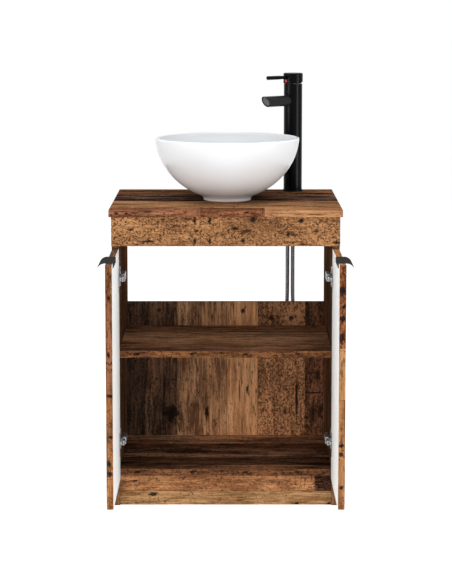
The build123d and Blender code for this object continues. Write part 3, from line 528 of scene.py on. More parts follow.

# %% [markdown]
# ## The shelf and the bottom panel
# Both boards lie, and their print turns down over the front edge, where a knot comes back at
# regular steps. The shelf shows one plank that grows paler towards the back, and a darker one
# behind it. The bottom panel has a brown strip along its front, then a dark plank that grows a
# little paler, and a pale one at the back. These paler tones deeper in are partly print and partly
# painted light, lifted to make up for the shade deep inside the cabinet. Where one plank changes
# its tone, the row starts at two numbers, where the change begins and where it ends.


# %% Prints of the lying boards
def flat_board(name, node, planks, edge, marks_x):
    """A lying board whose print turns down over its front edge."""
    low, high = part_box(node)
    lip, face = low.y / MM, high.z / MM
    rows = [(-400, edge)]
    for at, row in planks:
        start = tuple(lip + part for part in at) if isinstance(at, tuple) else lip + at
        rows.append((start, row))
    marks = [(x, lip - 7, 9, 3.0) for x in marks_x]
    material = plank_board(name, X, (0, 1, 1), rows, marks, turned=(0, -face), sheen=0.0)
    paint(material, node)
    return material


repeat_x = (-214, -81, 49, 176)
# The tones from 10 mm back are partly print and partly painted light for the shade deeper in.
shelf_planks = [(0.5, one_plank((132, 92, 70), (75, 50, 37), 0.35, 0.2)),
                ((10, 75), one_plank((178, 126, 92), (101, 69, 49), 0.35, 0.2)),
                ((85, 150), one_plank((237, 179, 134), (134, 98, 71), 0.35, 0.2)),
                ((165, 215), one_plank((250, 192, 144), (148, 108, 79), 0.35, 0.2)),
                (248, one_plank((196, 142, 108), (103, 74, 57), 0.4, 0.1))]
shelf_print = flat_board("printed shelf planks", "shelf", shelf_planks,
                         one_plank((156, 104, 66), (78, 50, 35), 0.7, 0.1), repeat_x)
# The paler tones from 108 mm back are partly print and partly painted light for the shade deeper
# in.
bottom_planks = [(0.5, one_plank((146, 99, 68), (64, 43, 30), 0.5, 0.1)),
                 (42, one_plank((98, 67, 48), (31, 21, 15), 0.5, 0.2)),
                 ((108, 130), one_plank((178, 130, 100), (55, 41, 31), 0.5, 0.2)),
                 ((200, 218), one_plank((156, 108, 80), (48, 33, 24), 0.5, 0.2)),
                 (258, one_plank((240, 188, 145), (121, 90, 69), 0.5, 0.1))]
bottom_print = flat_board("printed bottom planks", "bottom_panel", bottom_planks,
                          one_plank((147, 98, 65), (77, 50, 35), 0.7, 0.1), repeat_x)
print("painted:", shelf_print.name, "and", bottom_print.name)

# %% [markdown]
# ## The back panel and the side panels
# The back panel has eight upright planks of different widths, from nearly black to pale, some with
# regular ridges and one full of flecks. Each plank's tone steps a little at the shelf's middle
# height: painted light and shade for the different light above and below the shelf. The back and
# side prints are also lifted as painted light for the shade inside the cabinet. The side panels
# are plainer, with three quiet brown planks each. For an upright board the grain is the Z axis, and
# the planks follow each other along X or Y.

# %% Prints of the upright boards
# start across, light, dark, flecks, ridges, and how the plank's tone is scaled above the shelf:
# painted light and shade for the different light in the two compartments
back_planks = [(-400, (62, 45, 34), (20, 14, 11), 0.6, 0.1, 1.22),
               (-212, (102, 73, 54), (36, 25, 17), 0.5, 0.1, 0.84),
               (-128, (147, 110, 79), (75, 50, 34), 0.35, 0.3, 0.90),
               (-70, (152, 111, 77), (89, 62, 43), 0.25, 0.9, 0.86),
               (2, (170, 126, 88), (134, 93, 62), 0.15, 0.15, 0.92),
               (84, (169, 120, 83), (91, 60, 39), 1.0, 0.0, 0.81),
               (208, (125, 83, 58), (41, 28, 19), 0.8, 0.0, 0.82),
               (255, (104, 72, 48), (60, 40, 28), 0.4, 0.0, 0.86)]
shelf_low, shelf_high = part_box("shelf")
shelf_light_step = (shelf_low.z + shelf_high.z) / 2 / MM
back_rows = []
# Above the shelf's middle height each plank's tones are scaled: painted light and shade.
for start, light, dark, flecks, ridges, above in back_planks:
    above_light, above_dark = [tuple(above * c for c in tone) for tone in (light, dark)]
    back_rows.append((start, [(-FAR, light, dark, flecks, ridges),
                              (shelf_light_step, above_light, above_dark, flecks, ridges)]))
back_marks = [(425, -173, 6, 6), (423, 45, 8, 6), (404, 120, 8, 7), (404, 171, 8, 7),
              (152, -141, 30, 27), (190, -150, 130, 40, 0.5), (330, -176, 90, 16, 0.5),
              (152, -49, 24, 6), (195, 186, 60, 4), (240, -136, 3, 10), (214, 56, 12, 3),
              (205, 231, 2.5, 26), (150, 228, 38, 10, 0.8), (250, 242, 26, 7, 0.8)]
# The back panel's print is lifted 2.5 times: painted light for the shade inside the cabinet.
back_print = plank_board("printed back planks", Z, X, back_rows, back_marks, 2.5)
paint(back_print, "back_panel")

side_rows = [(-200, one_plank((126, 90, 64), (56, 41, 31), 0.4, 0.2)),
             (96, one_plank((108, 80, 59), (48, 36, 29), 0.35, 0.4)),
             (236, one_plank((136, 94, 66), (62, 43, 32), 0.5, 0.1))]
# The side panels' and rails' print is lifted 1.5 times: painted light for the shade inside.
side_painted_light_lift = 1.5
for side, outwards in (("left", -1), ("right", 1)):
    inner_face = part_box(side + "_side_panel")[1 if side == "left" else 0].x / MM
    side_print = plank_board("printed side planks " + side, Z, (outwards, 1, 0), side_rows, [],
                             side_painted_light_lift, turned=(0, -outwards * inner_face), sheen=0.0)
    paint(side_print, side + "_side_panel")
rail_print = plank_board("printed rail planks", X, (0, 1, 1), side_rows, [], side_painted_light_lift,
                         sheen=0.0)
paint(rail_print, "front_rail", "rear_rail")
print("upright boards painted:", back_print.name, side_print.name, rail_print.name)

# %% [markdown]
# ## The doors
# A door is one board with two faces: planks outside and on its edges, and plain white melamine
# inside. The two faces are told apart by position, which stays true when the door swings, because
# object coordinates turn with the object. The edge bands change plank at different heights.


# %% Door prints
def door_print(side, edge_planks, marks):
    """Planks on the outer face and the edges, white melamine on the inner face."""
    low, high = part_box(side + "_door")
    outer, inner, inwards = (low.x, high.x, 1) if side == "left" else (high.x, low.x, -1)
    rows = [(-900, edge_planks),
            (high.y / MM - 110, one_plank((150, 104, 70), (86, 56, 38), 0.4, 0.2)),
            (high.y / MM - 60, one_plank((120, 82, 56), (60, 40, 28), 0.5, 0.5))]
    edge_marks = [(z, low.y / MM - across, tall, wide) for z, across, tall, wide in marks]
    material = plank_board("printed door planks " + side, Z, (-inwards, 1, 0), rows, edge_marks,
                           turned=(0, inwards * outer / MM),
                           band=(ends_of(side + "_door", 2), Y, 0))
    tree = material.node_tree
    shader = tree.nodes["Principled BSDF"]
    planks = shader.inputs["Base Color"].links[0].from_socket
    place = add(tree, "ShaderNodeSeparateXYZ", {0: object_place(tree)})
    away = calc(tree, "ABSOLUTE", minus(tree, place.outputs[0], inner))
    white = calc(tree, "LESS_THAN", away, 0.3 * MM)
    melamine = mixed(tree, white, planks, colour(248, 248, 246))
    tree.links.new(melamine, shader.inputs["Base Color"])
    paint(material, side + "_door")
    return material


left_edge = [(-FAR, (190, 134, 86), (130, 80, 43), 0.6, 0.2),
             (140, (172, 117, 74), (121, 77, 41), 0.5, 0.2),
             (333, (148, 97, 68), (99, 61, 35), 0.5, 0.2)]
left_knots = [(334, 9, 5, 10), (175, 6, 9, 6), (152, 8, 7, 7), (560, 8, 6, 4), (430, 6, 9, 4),
              (238, 10, 5, 6), (60, 8, 6, 7)]
left_print = door_print("left", left_edge, left_knots)
right_edge = [(-FAR, (185, 131, 82), (131, 86, 53), 0.5, 0.2),
              (324, (200, 154, 110), (166, 120, 76), 0.3, 0.2),
              (439, (160, 100, 60), (90, 46, 24), 1.0, 0.1)]
right_knots = [(577, 8, 14, 9), (513, 7, 10, 9), (469, 9, 16, 8), (540, 5, 6, 6), (218, 8, 5, 8),
               (198, 9, 7, 6), (120, 8, 6, 5)]
right_print = door_print("right", right_edge, right_knots)
print("doors painted:", left_print.name, right_print.name)

# %% [markdown]
# ## Metals, plastics and glaze
# The tap and the pulls are steel with a matt black coat, so they need a low specular level and a
# faint speckle. The spout's coat is painted a little lighter than the body's, a painted highlight
# that stands for the light along its top. The pulls' coat is painted dark grey with no specular at
# all, a painted sheen in place of the coat's shine. The hinges are nickel-plated sheet. Brass,
# rubber and plastics are mostly hidden, but they show when the cabinet is seen from behind or
# below. Each finish is a Principled shader with small noise in its roughness, because no real
# surface is perfectly even.


# %% Build the plain finishes
def finish(name, base, metallic=0.0, roughness=0.4, specular=0.5, uneven=0.08, size=400.0,
           tint=0.12):
    """A finish with slightly uneven colour and roughness. size is the noise's scale per metre."""
    material, tree, shader = new_material(name)
    sockets = {"Vector": object_place(tree), "Scale": size, "Detail": 3.0}
    noise = add(tree, "ShaderNodeTexNoise", sockets).outputs["Fac"]
    deep = [c * (1 - tint) for c in base[:3]] + [1.0]
    tree.links.new(mixed(tree, noise, deep, base), shader.inputs["Base Color"])
    rough = add(tree, "ShaderNodeMapRange", {"Value": noise, "To Min": roughness - uneven,
                                             "To Max": roughness + uneven})
    tree.links.new(rough.outputs[0], shader.inputs["Roughness"])
    shader.inputs["Metallic"].default_value = metallic
    shader.inputs["Specular IOR Level"].default_value = specular
    bump = add(tree, "ShaderNodeBump", {"Strength": 0.15, "Distance": 0.1 * MM, "Height": noise})
    tree.links.new(bump.outputs[0], shader.inputs["Normal"])
    return material


black_coat = finish("matt black coat", colour(4, 4, 4), roughness=0.26, specular=0.06, size=900)
# The pulls are painted dark grey with no specular: a painted sheen in place of the coat's shine.
pull_coat_painted_sheen = finish("dark grey pulls with painted sheen", colour(60, 59, 58), roughness=0.6, specular=0.0, size=900)
# The spout's coat is painted lighter than the body's: a painted highlight along its top.
spout_coat_painted_highlight = finish("black coat with painted highlight", colour(34, 34, 34), roughness=0.3, specular=0.08, size=900)
nickel = finish("nickel plate", colour(178, 178, 180), metallic=1.0, roughness=0.38, size=250)
glaze = finish("white glaze", colour(229, 231, 233), roughness=0.2, specular=0.3, uneven=0.03,
               size=30, tint=0.01)
chrome = finish("polished chrome", colour(224, 224, 224), metallic=1.0, roughness=0.09,
                uneven=0.03, size=120)
brass = finish("turned brass", colour(196, 158, 92), metallic=1.0, roughness=0.32, size=350)
rubber = finish("black seal rubber", colour(38, 38, 38), roughness=0.75, specular=0.3, size=700)
white_plastic = finish("white moulded plastic", colour(226, 226, 222), roughness=0.45, size=200,
                       tint=0.04)
beech = finish("bare beech", colour(214, 180, 134), roughness=0.7, specular=0.2, size=160,
               tint=0.25)
door_metal = [side + part for side in ("left", "right") for part in
              ("_hinge_cups", "_cup_pins", "_cup_screws", "_handle_screws", "_long_links",
               "_short_links")]
dressed = {pull_coat_painted_sheen: ["left_handle", "right_handle"],
           black_coat: ["tap_base_ring", "tap_body", "tap_cap", "tap_lever"],
           spout_coat_painted_highlight: ["tap_spout"],
           nickel: ["hinge_plates", "hinge_arms", "arm_pins", "adjusting_screws", "cam_locks",
                    "worktop_screws", "panel_screws", "wall_brackets", "shelf_pins",
                    "tap_washer", "tap_swivel", *door_metal],
           glaze: ["basin"],
           chrome: ["waste_body", "waste_plug"],
           brass: ["tap_shank", "tap_nut", "tap_stem", "cold_hose_nut", "hot_hose_nut"],
           rubber: ["waste_seal", "tap_gasket"],
           white_plastic: ["waste_nut", "tap_cartridge"],
           beech: ["dowels"]}
for material, pieces in dressed.items():
    paint(material, *pieces)
print("finishes:", [material.name for material in dressed])

# %% [markdown]
# ## The marked dot, the mesh insert and the braid
# Three finishes follow a shape. The dot under the lever is half red and half blue: a dot product
# with the direction across it says on which side a point is. The insert in the spout's mouth is a
# fine plastic mesh, the product of two waves. The hoses carry a steel braid, drawn from two
# attributes that Geometry Nodes store on each hose: how far along it a point is, and how far round.

# %% Build the finishes that follow a shape
dot_low, dot_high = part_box("tap_indicator")
dot_centre = (dot_low + dot_high) / 2
tap_low, tap_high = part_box("tap_body")
tap_axis = (tap_low + tap_high) / 2
aim = Vector((dot_centre.x - tap_axis.x, dot_centre.y - tap_axis.y, 0)).normalized()
sideways = Vector((-aim.y, aim.x, 0))

dot_finish, dot_tree, dot_shader = new_material("half red half blue enamel")
dot_away = vector_calc(dot_tree, "SUBTRACT", object_place(dot_tree), tuple(dot_centre))
dot_side = distance_along(dot_tree, dot_away, tuple(sideways))
dot_half = between(dot_tree, dot_side, -1.3 * MM, -1.1 * MM)
dot_tree.links.new(mixed(dot_tree, dot_half, colour(40, 70, 190), colour(235, 38, 42)),
                   dot_shader.inputs["Base Color"])
dot_shader.inputs["Roughness"].default_value = 0.25
paint(dot_finish, "tap_indicator")

full_turn = 2 * math.pi
mesh_pitch = 2.4                    # millimetres from one hole of the insert to the next
mesh_finish, mesh_tree, mesh_shader = new_material("grey mesh insert")
mesh_place = object_place(mesh_tree)
waves = []
for axis in (tuple(sideways), Z):
    run = distance_along(mesh_tree, mesh_place, axis)
    waves.append(calc(mesh_tree, "SINE", times(mesh_tree, run, full_turn / (mesh_pitch * MM))))
mesh_holes = between(mesh_tree, times(mesh_tree, *waves), -0.2, 0.5)
mesh_tree.links.new(mixed(mesh_tree, mesh_holes, colour(96, 98, 100), colour(22, 22, 23)),
                    mesh_shader.inputs["Base Color"])
mesh_shader.inputs["Roughness"].default_value = 0.5
paint(mesh_finish, "tap_aerator")

strand_count, strand_pitch = 10.0, 2.6      # strands round the hose, and millimetres between them
braid, braid_tree, braid_shader = new_material("steel braid")
along = add(braid_tree, "ShaderNodeAttribute", attribute_name="along").outputs["Fac"]
around = add(braid_tree, "ShaderNodeAttribute", attribute_name="around").outputs["Fac"]
strands = []
for way in (1, -1):
    turn = plus(braid_tree, times(braid_tree, around, strand_count),
                times(braid_tree, along, way / (strand_pitch * MM)))
    strands.append(calc(braid_tree, "SINE", times(braid_tree, turn, full_turn)))
weave = larger(braid_tree, *strands)
braid_light = between(braid_tree, weave, -0.2, 0.9)
braid_tree.links.new(mixed(braid_tree, braid_light, colour(80, 81, 82), colour(198, 199, 200)),
                     braid_shader.inputs["Base Color"])
braid_bump = add(braid_tree, "ShaderNodeBump", {"Strength": 0.5, "Distance": 0.3 * MM,
                                                "Height": weave})
braid_tree.links.new(braid_bump.outputs[0], braid_shader.inputs["Normal"])
braid_shader.inputs["Metallic"].default_value = 1.0
braid_shader.inputs["Roughness"].default_value = 0.42
print("tap aims at", [round(c, 3) for c in aim])

# %% [markdown]
# ## Geometry Nodes: from a tree to a plain piece
# The next pieces are made by Geometry Nodes trees. Each tree has named sizes as inputs and ends the
# same way: instances are made real and get their material. A function puts a tree on a source mesh
# and sets its inputs by their identifiers, and another reads the result back as a plain mesh.
# Merging doubles closes seams, and recalculated normals point outwards.


# %% Helpers to build and run a tree
def start_tree(name, inputs, output):
    """A new tree with these inputs, a material and one output; returns it and its inputs."""
    tree = bpy.data.node_groups.new(name, "GeometryNodeTree")
    sockets_of(tree, [*inputs, ("Finish", "NodeSocketMaterial", None)],
               [(output, "NodeSocketGeometry")])
    return tree, add(tree, "NodeGroupInput").outputs


def end_tree(tree, geometry, material, output):
    """Make instances real, give them their material and pass the result on."""
    real = add(tree, "GeometryNodeRealizeInstances", {"Geometry": geometry})
    done = add(tree, "GeometryNodeSetMaterial", {"Geometry": real.outputs[0],
                                                 "Material": material})
    add(tree, "NodeGroupOutput", {output: done.outputs[0]})
    print("tree", tree.name, "has", len(tree.nodes), "nodes")
    return tree


def marked_points(tree, geometry, name, value):
    """Store a number on every point under a name."""
    sockets = {"Geometry": geometry, "Name": name, "Value": value}
    return add(tree, "GeometryNodeStoreNamedAttribute", sockets, data_type="FLOAT",
               domain="POINT").outputs[0]


def merged_points(tree, geometry):
    """Join the points that lie on each other."""
    sockets = {"Geometry": geometry, "Distance": 0.01 * MM}
    return add(tree, "GeometryNodeMergeByDistance", sockets).outputs[0]


def shaded_smooth(bm, crease):
    """Shade faces smoothly, with sharp edges where they meet at more than the crease angle."""
    for face in bm.faces:
        face.smooth = True
    for edge in bm.edges:
        meets_two = len(edge.link_faces) == 2
        edge.smooth = meets_two and edge.calc_face_angle(0) < math.radians(crease)


def evaluated_mesh(item):
    """A new mesh of an object as its modifiers leave it."""
    graph = bpy.context.evaluated_depsgraph_get()
    return bpy.data.meshes.new_from_object(item.evaluated_get(graph))


def placed_object(name, data):
    """An object with this data, in the scene."""
    item = bpy.data.objects.new(name, data)
    bpy.context.scene.collection.objects.link(item)
    return item


def plain_piece(name, source, body, stands_for, material):
    """Turn an evaluated object into a plain closed mesh that rides on a body."""
    mesh = evaluated_mesh(source)
    bm = bmesh.new()
    bm.from_mesh(mesh)
    bmesh.ops.remove_doubles(bm, verts=bm.verts, dist=0.005 * MM)
    bmesh.ops.recalc_face_normals(bm, faces=bm.faces)
    shaded_smooth(bm, 35)
    bm.to_mesh(mesh)
    bm.free()
    mesh.materials.clear()
    mesh.materials.append(material)
    piece = placed_object(name, mesh)
    bpy.data.objects.remove(source)
    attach(piece, body)
    if stands_for:
        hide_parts(*stands_for)
    print(name, "has", len(mesh.polygons), "faces")
    return piece


def with_tree(source, tree, **sizes):
    """Put a tree on an object as a modifier and set its named inputs."""
    modifier = source.modifiers.new(tree.name, "NODES")
    modifier.node_group = tree
    for item in tree.interface.items_tree:
        key = item.name.lower().replace(" ", "_")
        if item.item_type == "SOCKET" and item.in_out == "INPUT" and key in sizes:
            modifier[item.identifier] = sizes[key]
    source.update_tag()
    return source


def source_points(name, points):
    """A mesh of loose points as the input of a tree."""
    mesh = bpy.data.meshes.new(name)
    mesh.from_pydata([tuple(p) for p in points], [], [])
    return placed_object(name, mesh)


print("tree helpers ready")

# %% [markdown]
# ## The basin
# The basin was thrown on a wheel: one section turned round an axis. Blender's Spin tool or a Screw
# modifier would do, but a tree states the rule itself. A grid has one row for each point of the
# section. Each grid point looks up its section point by its row number and turns it about the axis.
# The section is an ellipse outside and a smaller one inside, joined by a round lip. Below are a
# foot ring that runs into the bowl in a soft curve, and a seat for the waste in the middle.


# %% Node tree: turned from a section
def turned_tree():
    """Build the tree that turns a section of points round the Z axis."""
    inputs = [("Section", "NodeSocketGeometry", None), ("Steps Round", "NodeSocketInt", 128)]
    tree, size = start_tree("turned from a section", inputs, "Turned")
    count = add(tree, "GeometryNodeAttributeDomainSize", {0: size["Section"]},
                component="MESH").outputs["Point Count"]
    grid = add(tree, "GeometryNodeMeshGrid", {"Size X": 1.0, "Size Y": 1.0,
                                              "Vertices X": size["Steps Round"],
                                              "Vertices Y": count}).outputs
    uv = add(tree, "ShaderNodeSeparateXYZ", {0: grid["UV Map"]}).outputs
    row = calc(tree, "ROUND", times(tree, uv[1], minus(tree, count, 1.0)))
    section_place = add(tree, "GeometryNodeInputPosition").outputs[0]
    found = add(tree, "GeometryNodeSampleIndex", {"Geometry": size["Section"],
                                                  "Value": section_place, "Index": row},
                data_type="FLOAT_VECTOR", domain="POINT").outputs[0]
    angle = times(tree, uv[0], full_turn)
    placed = add(tree, "ShaderNodeVectorRotate", {"Vector": found, "Axis": Z, "Angle": angle},
                 rotation_type="AXIS_ANGLE").outputs[0]
    surface = add(tree, "GeometryNodeSetPosition", {"Geometry": grid["Mesh"],
                                                    "Position": placed}).outputs[0]
    return end_tree(tree, merged_points(tree, surface), size["Finish"], "Turned")


turned = turned_tree()


def turned_piece(name, section, axis_x, axis_y, stands_for, material, steps_round=129):
    """Turn a section of (radius, height) in millimetres round an upright axis given in metres."""
    source = source_points(name + "_section", [(r * MM, 0, z * MM) for r, z in section])
    with_tree(source, turned, steps_round=steps_round, finish=material)
    piece = plain_piece(name, source, "cabinet", stands_for, material)
    piece.data.transform(Matrix.Translation((axis_x, axis_y, 0)))
    return piece


# %% Turn the basin
basin_low, basin_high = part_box("basin")
basin_base = basin_low.z / MM
bowl_r, bowl_h = 181.0, 165.0       # half axes of the outer ellipse, centred bowl_h above the foot
wall, floor_t = 7.0, 14.0
rim = (basin_high.z - basin_low.z) / MM
foot_r, foot_ring, foot_hollow = 60.0, 10.0, 6.0    # radius, thickness and depth of the foot ring
seat_r, drain_r = 32.6, 23.0
inner_r, inner_h = bowl_r - wall, bowl_h - floor_t


def on_ellipse(half_width, half_height, z):
    """Radius of a bowl's ellipse at a height above the foot."""
    return half_width * math.sqrt(1 - ((bowl_h - z) / half_height) ** 2)


def bowl_line(half_width, half_height, z0, z1, count=40):
    """Points up the bowl, closer together where it is flat."""
    a0, a1 = [math.acos((bowl_h - z) / half_height) for z in (z0, z1)]
    heights = [bowl_h - half_height * math.cos(a0 + (a1 - a0) * k / count)
               for k in range(count + 1)]
    return [(on_ellipse(half_width, half_height, z), z) for z in heights]


lip = (on_ellipse(bowl_r, bowl_h, rim) - on_ellipse(inner_r, inner_h, rim)) / 2
foot_top = bowl_h * (1 - math.sqrt(1 - (foot_r / bowl_r) ** 2))
seat_top = bowl_h - inner_h * math.sqrt(1 - (seat_r / inner_r) ** 2)
blend_top, blend_low = 14.0, 3.0     # the foot runs into the bowl in a soft curve
blend_end = on_ellipse(bowl_r, bowl_h, blend_top)
corners = [Vector(corner) for corner in
           ((foot_r, blend_low), (foot_r, foot_top), (blend_end, blend_top))]
blend = [tuple(corners[0] * (1 - t) ** 2 + corners[1] * 2 * t * (1 - t) + corners[2] * t ** 2)
         for t in (k / 8 for k in range(8))]
outside = blend + bowl_line(bowl_r, bowl_h, blend_top, rim - lip)
inside = bowl_line(inner_r, inner_h, seat_top, rim - lip)[::-1]
lip_middle = (outside[-1][0] + inside[0][0]) / 2
half_lip = (outside[-1][0] - inside[0][0]) / 2
lip_angles = [math.radians(a) for a in range(15, 180, 15)]
lip_line = [(lip_middle + half_lip * math.cos(a), rim - lip + lip * math.sin(a))
            for a in lip_angles]
foot_in = foot_r - foot_ring
foot_line = [(drain_r, foot_hollow), (foot_in - 1, foot_hollow), (foot_in, foot_hollow - 1),
             (foot_in, 0.6), (foot_in + 0.6, 0), (foot_r - 1.5, 0), (foot_r - 0.4, 0.5),
             (foot_r, 1.5)]
seat_line = [(seat_r, floor_t), (drain_r, floor_t), (drain_r, foot_hollow)]
section = [(r, z + basin_base) for r, z in foot_line + outside + lip_line + inside + seat_line]
basin_axis = (basin_low + basin_high) / 2
turned_piece("vessel_basin", section, basin_axis.x, basin_axis.y, ["basin"], glaze)
print("basin from", [round(c, 4) for c in basin_low], "to", [round(c, 4) for c in basin_high],
      "with a lip of", round(lip, 2), "mm")

# %% [markdown]
# ## The two supply hoses
# Two hoses leave the tap's shank under the worktop and hang straight down behind the back panel.
# Each is a smooth NURBS curve through a few control points, as a heavy hose hangs. A tree turns the
# curve into a tube and stores how far along and around each point is, which the braid's material
# reads. The hose ends in a crimped sleeve and a hexagon nut.


# %% Node tree: braided tube
def tube_tree():
    """Build the tree that turns a curve into a tube with two named attributes."""
    inputs = [("Route", "NodeSocketGeometry", None), ("Radius", "NodeSocketFloat", 5.2 * MM),
              ("Steps Round", "NodeSocketInt", 32)]
    tree, size = start_tree("braided tube", inputs, "Tube")
    parameter = add(tree, "GeometryNodeSplineParameter").outputs
    line = marked_points(tree, size["Route"], "along", parameter["Length"])
    ring = add(tree, "GeometryNodeCurvePrimitiveCircle", {"Resolution": size["Steps Round"],
                                                          "Radius": size["Radius"]},
               mode="RADIUS").outputs[0]
    ring = marked_points(tree, ring, "around", parameter["Factor"])
    tube = add(tree, "GeometryNodeCurveToMesh", {"Curve": line, "Profile Curve": ring,
                                                 "Fill Caps": True}).outputs[0]
    return end_tree(tree, tube, size["Finish"], "Tube")


braided_tube = tube_tree()

# %% Hang the hoses
hose_r = 5.2
tap_x, tap_y = tap_axis.x / MM, tap_axis.y / MM
worktop_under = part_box("worktop")[0].z / MM
hose_drops = (18.0, 46.0, 78.0, 114.0, 184.0, 262.0, 309.0, 354.0, 399.0)
slack_back = (0, 0, 0.5, 0.5, 0, 0.5, 0, 0, 0)


def hose_route(side):
    """Control points of one hose; side is -1 for cold and 1 for hot."""
    start, hang, splay = tap_x + side * 6.5, tap_x - 6.0 + side * 7.0, side * 6.0
    across = (start, start, start * 0.45 + hang * 0.55, hang, hang, hang, hang + splay * 0.4,
              hang + splay, hang + splay)
    return [(x * MM, (tap_y + back) * MM, (worktop_under - down) * MM)
            for x, back, down in zip(across, slack_back, hose_drops)]


def route_curve(name, route):
    """A NURBS curve with the route's points as its control points."""
    data = bpy.data.curves.new(name, "CURVE")
    data.dimensions = "3D"
    data.resolution_u = 24
    spline = data.splines.new("NURBS")
    spline.points.add(len(route) - 1)
    for point, place in zip(spline.points, route):
        point.co = (*place, 1.0)
    spline.order_u = 3
    spline.use_endpoint_u = True
    return placed_object(name, data)


def line_of(curve):
    """The points of a curve as Blender draws it."""
    mesh = evaluated_mesh(curve)
    points = [vertex.co.copy() for vertex in mesh.vertices]
    bpy.data.meshes.remove(mesh)
    return points


def crimped_sleeve(name, end_z, x, y):
    """The pressed sleeve over a hose's end, with two rolled rings."""
    inner, outer, tall = hose_r - 0.4, hose_r + 0.9, 16.0
    shape = [(inner, end_z), (outer - 0.3, end_z), (outer, end_z + 0.4)]
    for ring in (end_z + 4.0, end_z + 11.0):
        shape += [(outer, ring - 1.2), (outer - 0.35, ring - 0.7), (outer - 0.45, ring),
                  (outer - 0.35, ring + 0.7), (outer, ring + 1.2)]
    shape += [(outer, end_z + tall - 0.6), (outer - 0.4, end_z + tall), (inner, end_z + tall),
              (inner, end_z)]
    return turned_piece(name, shape, x, y, [], nickel, steps_round=41)


for name, side in (("cold", -1), ("hot", 1)):
    route = hose_route(side)
    curve = route_curve(name + "_supply_hose_line", route)
    bpy.context.view_layer.update()
    line = line_of(curve)
    with_tree(curve, braided_tube, radius=hose_r * MM, steps_round=32, finish=braid)
    tube = plain_piece(name + "_supply_hose", curve, "cabinet", [name + "_hose"], braid)
    end = route[-1]
    sleeve = crimped_sleeve(name + "_crimped_sleeve", end[2] / MM, end[0], end[1])

# %% [markdown]
# ## The screws
# Every screw here is countersunk with a cross recess, so the driver's cross shows in its head. One
# tree builds such a screw from cones, a circle and a four-pointed star, and sets one on every
# point of a small mesh, turned to face the way that point says. The points come from the CAD
# model's own screws: each loose solid of a node gives one head.


# %% Node tree: cross-recess screws
screw_steps = 24                    # sides of a screw's round parts


def joined(tree, *parts):
    """Several geometries as one."""
    node = add(tree, "GeometryNodeJoinGeometry")
    for part in parts:
        tree.links.new(part, node.inputs[0])
    return node.outputs[0]


def lowered(tree, geometry, depth):
    """A geometry moved down by a depth."""
    offset = add(tree, "ShaderNodeCombineXYZ", {2: times(tree, depth, -1.0)}).outputs[0]
    sockets = {"Geometry": geometry, "Translation": offset}
    return add(tree, "GeometryNodeTransform", sockets).outputs[0]


def open_cone(tree, top, bottom, depth):
    """A cone's side without its caps."""
    sockets = {"Vertices": screw_steps, "Radius Top": top, "Radius Bottom": bottom,
               "Depth": depth}
    return add(tree, "GeometryNodeMeshCone", sockets, fill_type="NONE").outputs[0]


def filled(tree, curve):
    """The flat face inside a curve."""
    return add(tree, "GeometryNodeFillCurve", {"Curve": curve}).outputs[0]


def screw_tree():
    """Build the tree that sets a cross-recess screw on every point."""
    sizes = [("Head Radius", 3.5), ("Head Height", 2.2), ("Shank Radius", 1.75), ("Length", 13.0),
             ("Recess Radius", 2.0), ("Recess Depth", 1.2)]
    inputs = [("Places", "NodeSocketGeometry", None)]
    inputs += [(name, "NodeSocketFloat", value * MM) for name, value in sizes]
    tree, size = start_tree("cross-recess screws", inputs, "Screws")
    head_r, shank_r, recess_r = size["Head Radius"], size["Shank Radius"], size["Recess Radius"]
    rim_ring = add(tree, "GeometryNodeCurvePrimitiveCircle", {"Resolution": screw_steps,
                                                              "Radius": head_r},
                   mode="RADIUS").outputs[0]
    star = add(tree, "GeometryNodeCurveStar", {"Points": 4, "Outer Radius": recess_r,
                                               "Inner Radius": times(tree, recess_r, 0.36)})
    star = star.outputs[0]
    face = filled(tree, joined(tree, rim_ring, star))
    floor = lowered(tree, filled(tree, star), size["Recess Depth"])
    outline = add(tree, "GeometryNodeCurveToMesh", {"Curve": star}).outputs[0]
    walls = add(tree, "GeometryNodeExtrudeMesh", {"Mesh": outline, "Offset": (0, 0, -1),
                                                  "Offset Scale": size["Recess Depth"]},
                mode="EDGES").outputs[0]
    taper = open_cone(tree, shank_r, head_r, size["Head Height"])
    taper = add(tree, "GeometryNodeTransform", {"Geometry": taper, "Scale": (1, 1, -1)}).outputs[0]
    rest = minus(tree, size["Length"], size["Head Height"])
    shank = lowered(tree, open_cone(tree, shank_r, shank_r, rest), size["Length"])
    tip = add(tree, "GeometryNodeMeshCircle", {"Vertices": screw_steps, "Radius": shank_r},
              fill_type="NGON").outputs[0]
    tip = lowered(tree, tip, size["Length"])
    screw = merged_points(tree, joined(tree, face, floor, walls, taper, shank, tip))
    facing = add(tree, "GeometryNodeInputNamedAttribute", {"Name": "facing"},
                 data_type="FLOAT_VECTOR").outputs[0]
    turn = add(tree, "FunctionNodeAlignRotationToVector", {"Vector": facing}, axis="Z").outputs[0]
    set_in = add(tree, "GeometryNodeInstanceOnPoints", {"Points": size["Places"],
                                                        "Instance": screw, "Rotation": turn})
    return end_tree(tree, set_in.outputs[0], size["Finish"], "Screws")


cross_screws = screw_tree()


# %% Find each screw in the solids
def solids_of(node):
    """The lowest and highest corner of every separate solid in a CAD node."""
    bm = bmesh.new()
    bm.from_mesh(nodes[node].data)
    bmesh.ops.remove_doubles(bm, verts=bm.verts, dist=0.001 * MM)
    boxes, seen = [], set()
    for start in bm.verts:
        if start in seen:
            continue
        stack, found = [start], []
        seen.add(start)
        while stack:
            vertex = stack.pop()
            found.append(vertex.co.copy())
            for edge in vertex.link_edges:
                other = edge.other_vert(vertex)
                if other not in seen:
                    seen.add(other)
                    stack.append(other)
        boxes.append([Vector([pick(co[k] for co in found) for k in range(3)])
                      for pick in (min, max)])
    bm.free()
    return boxes


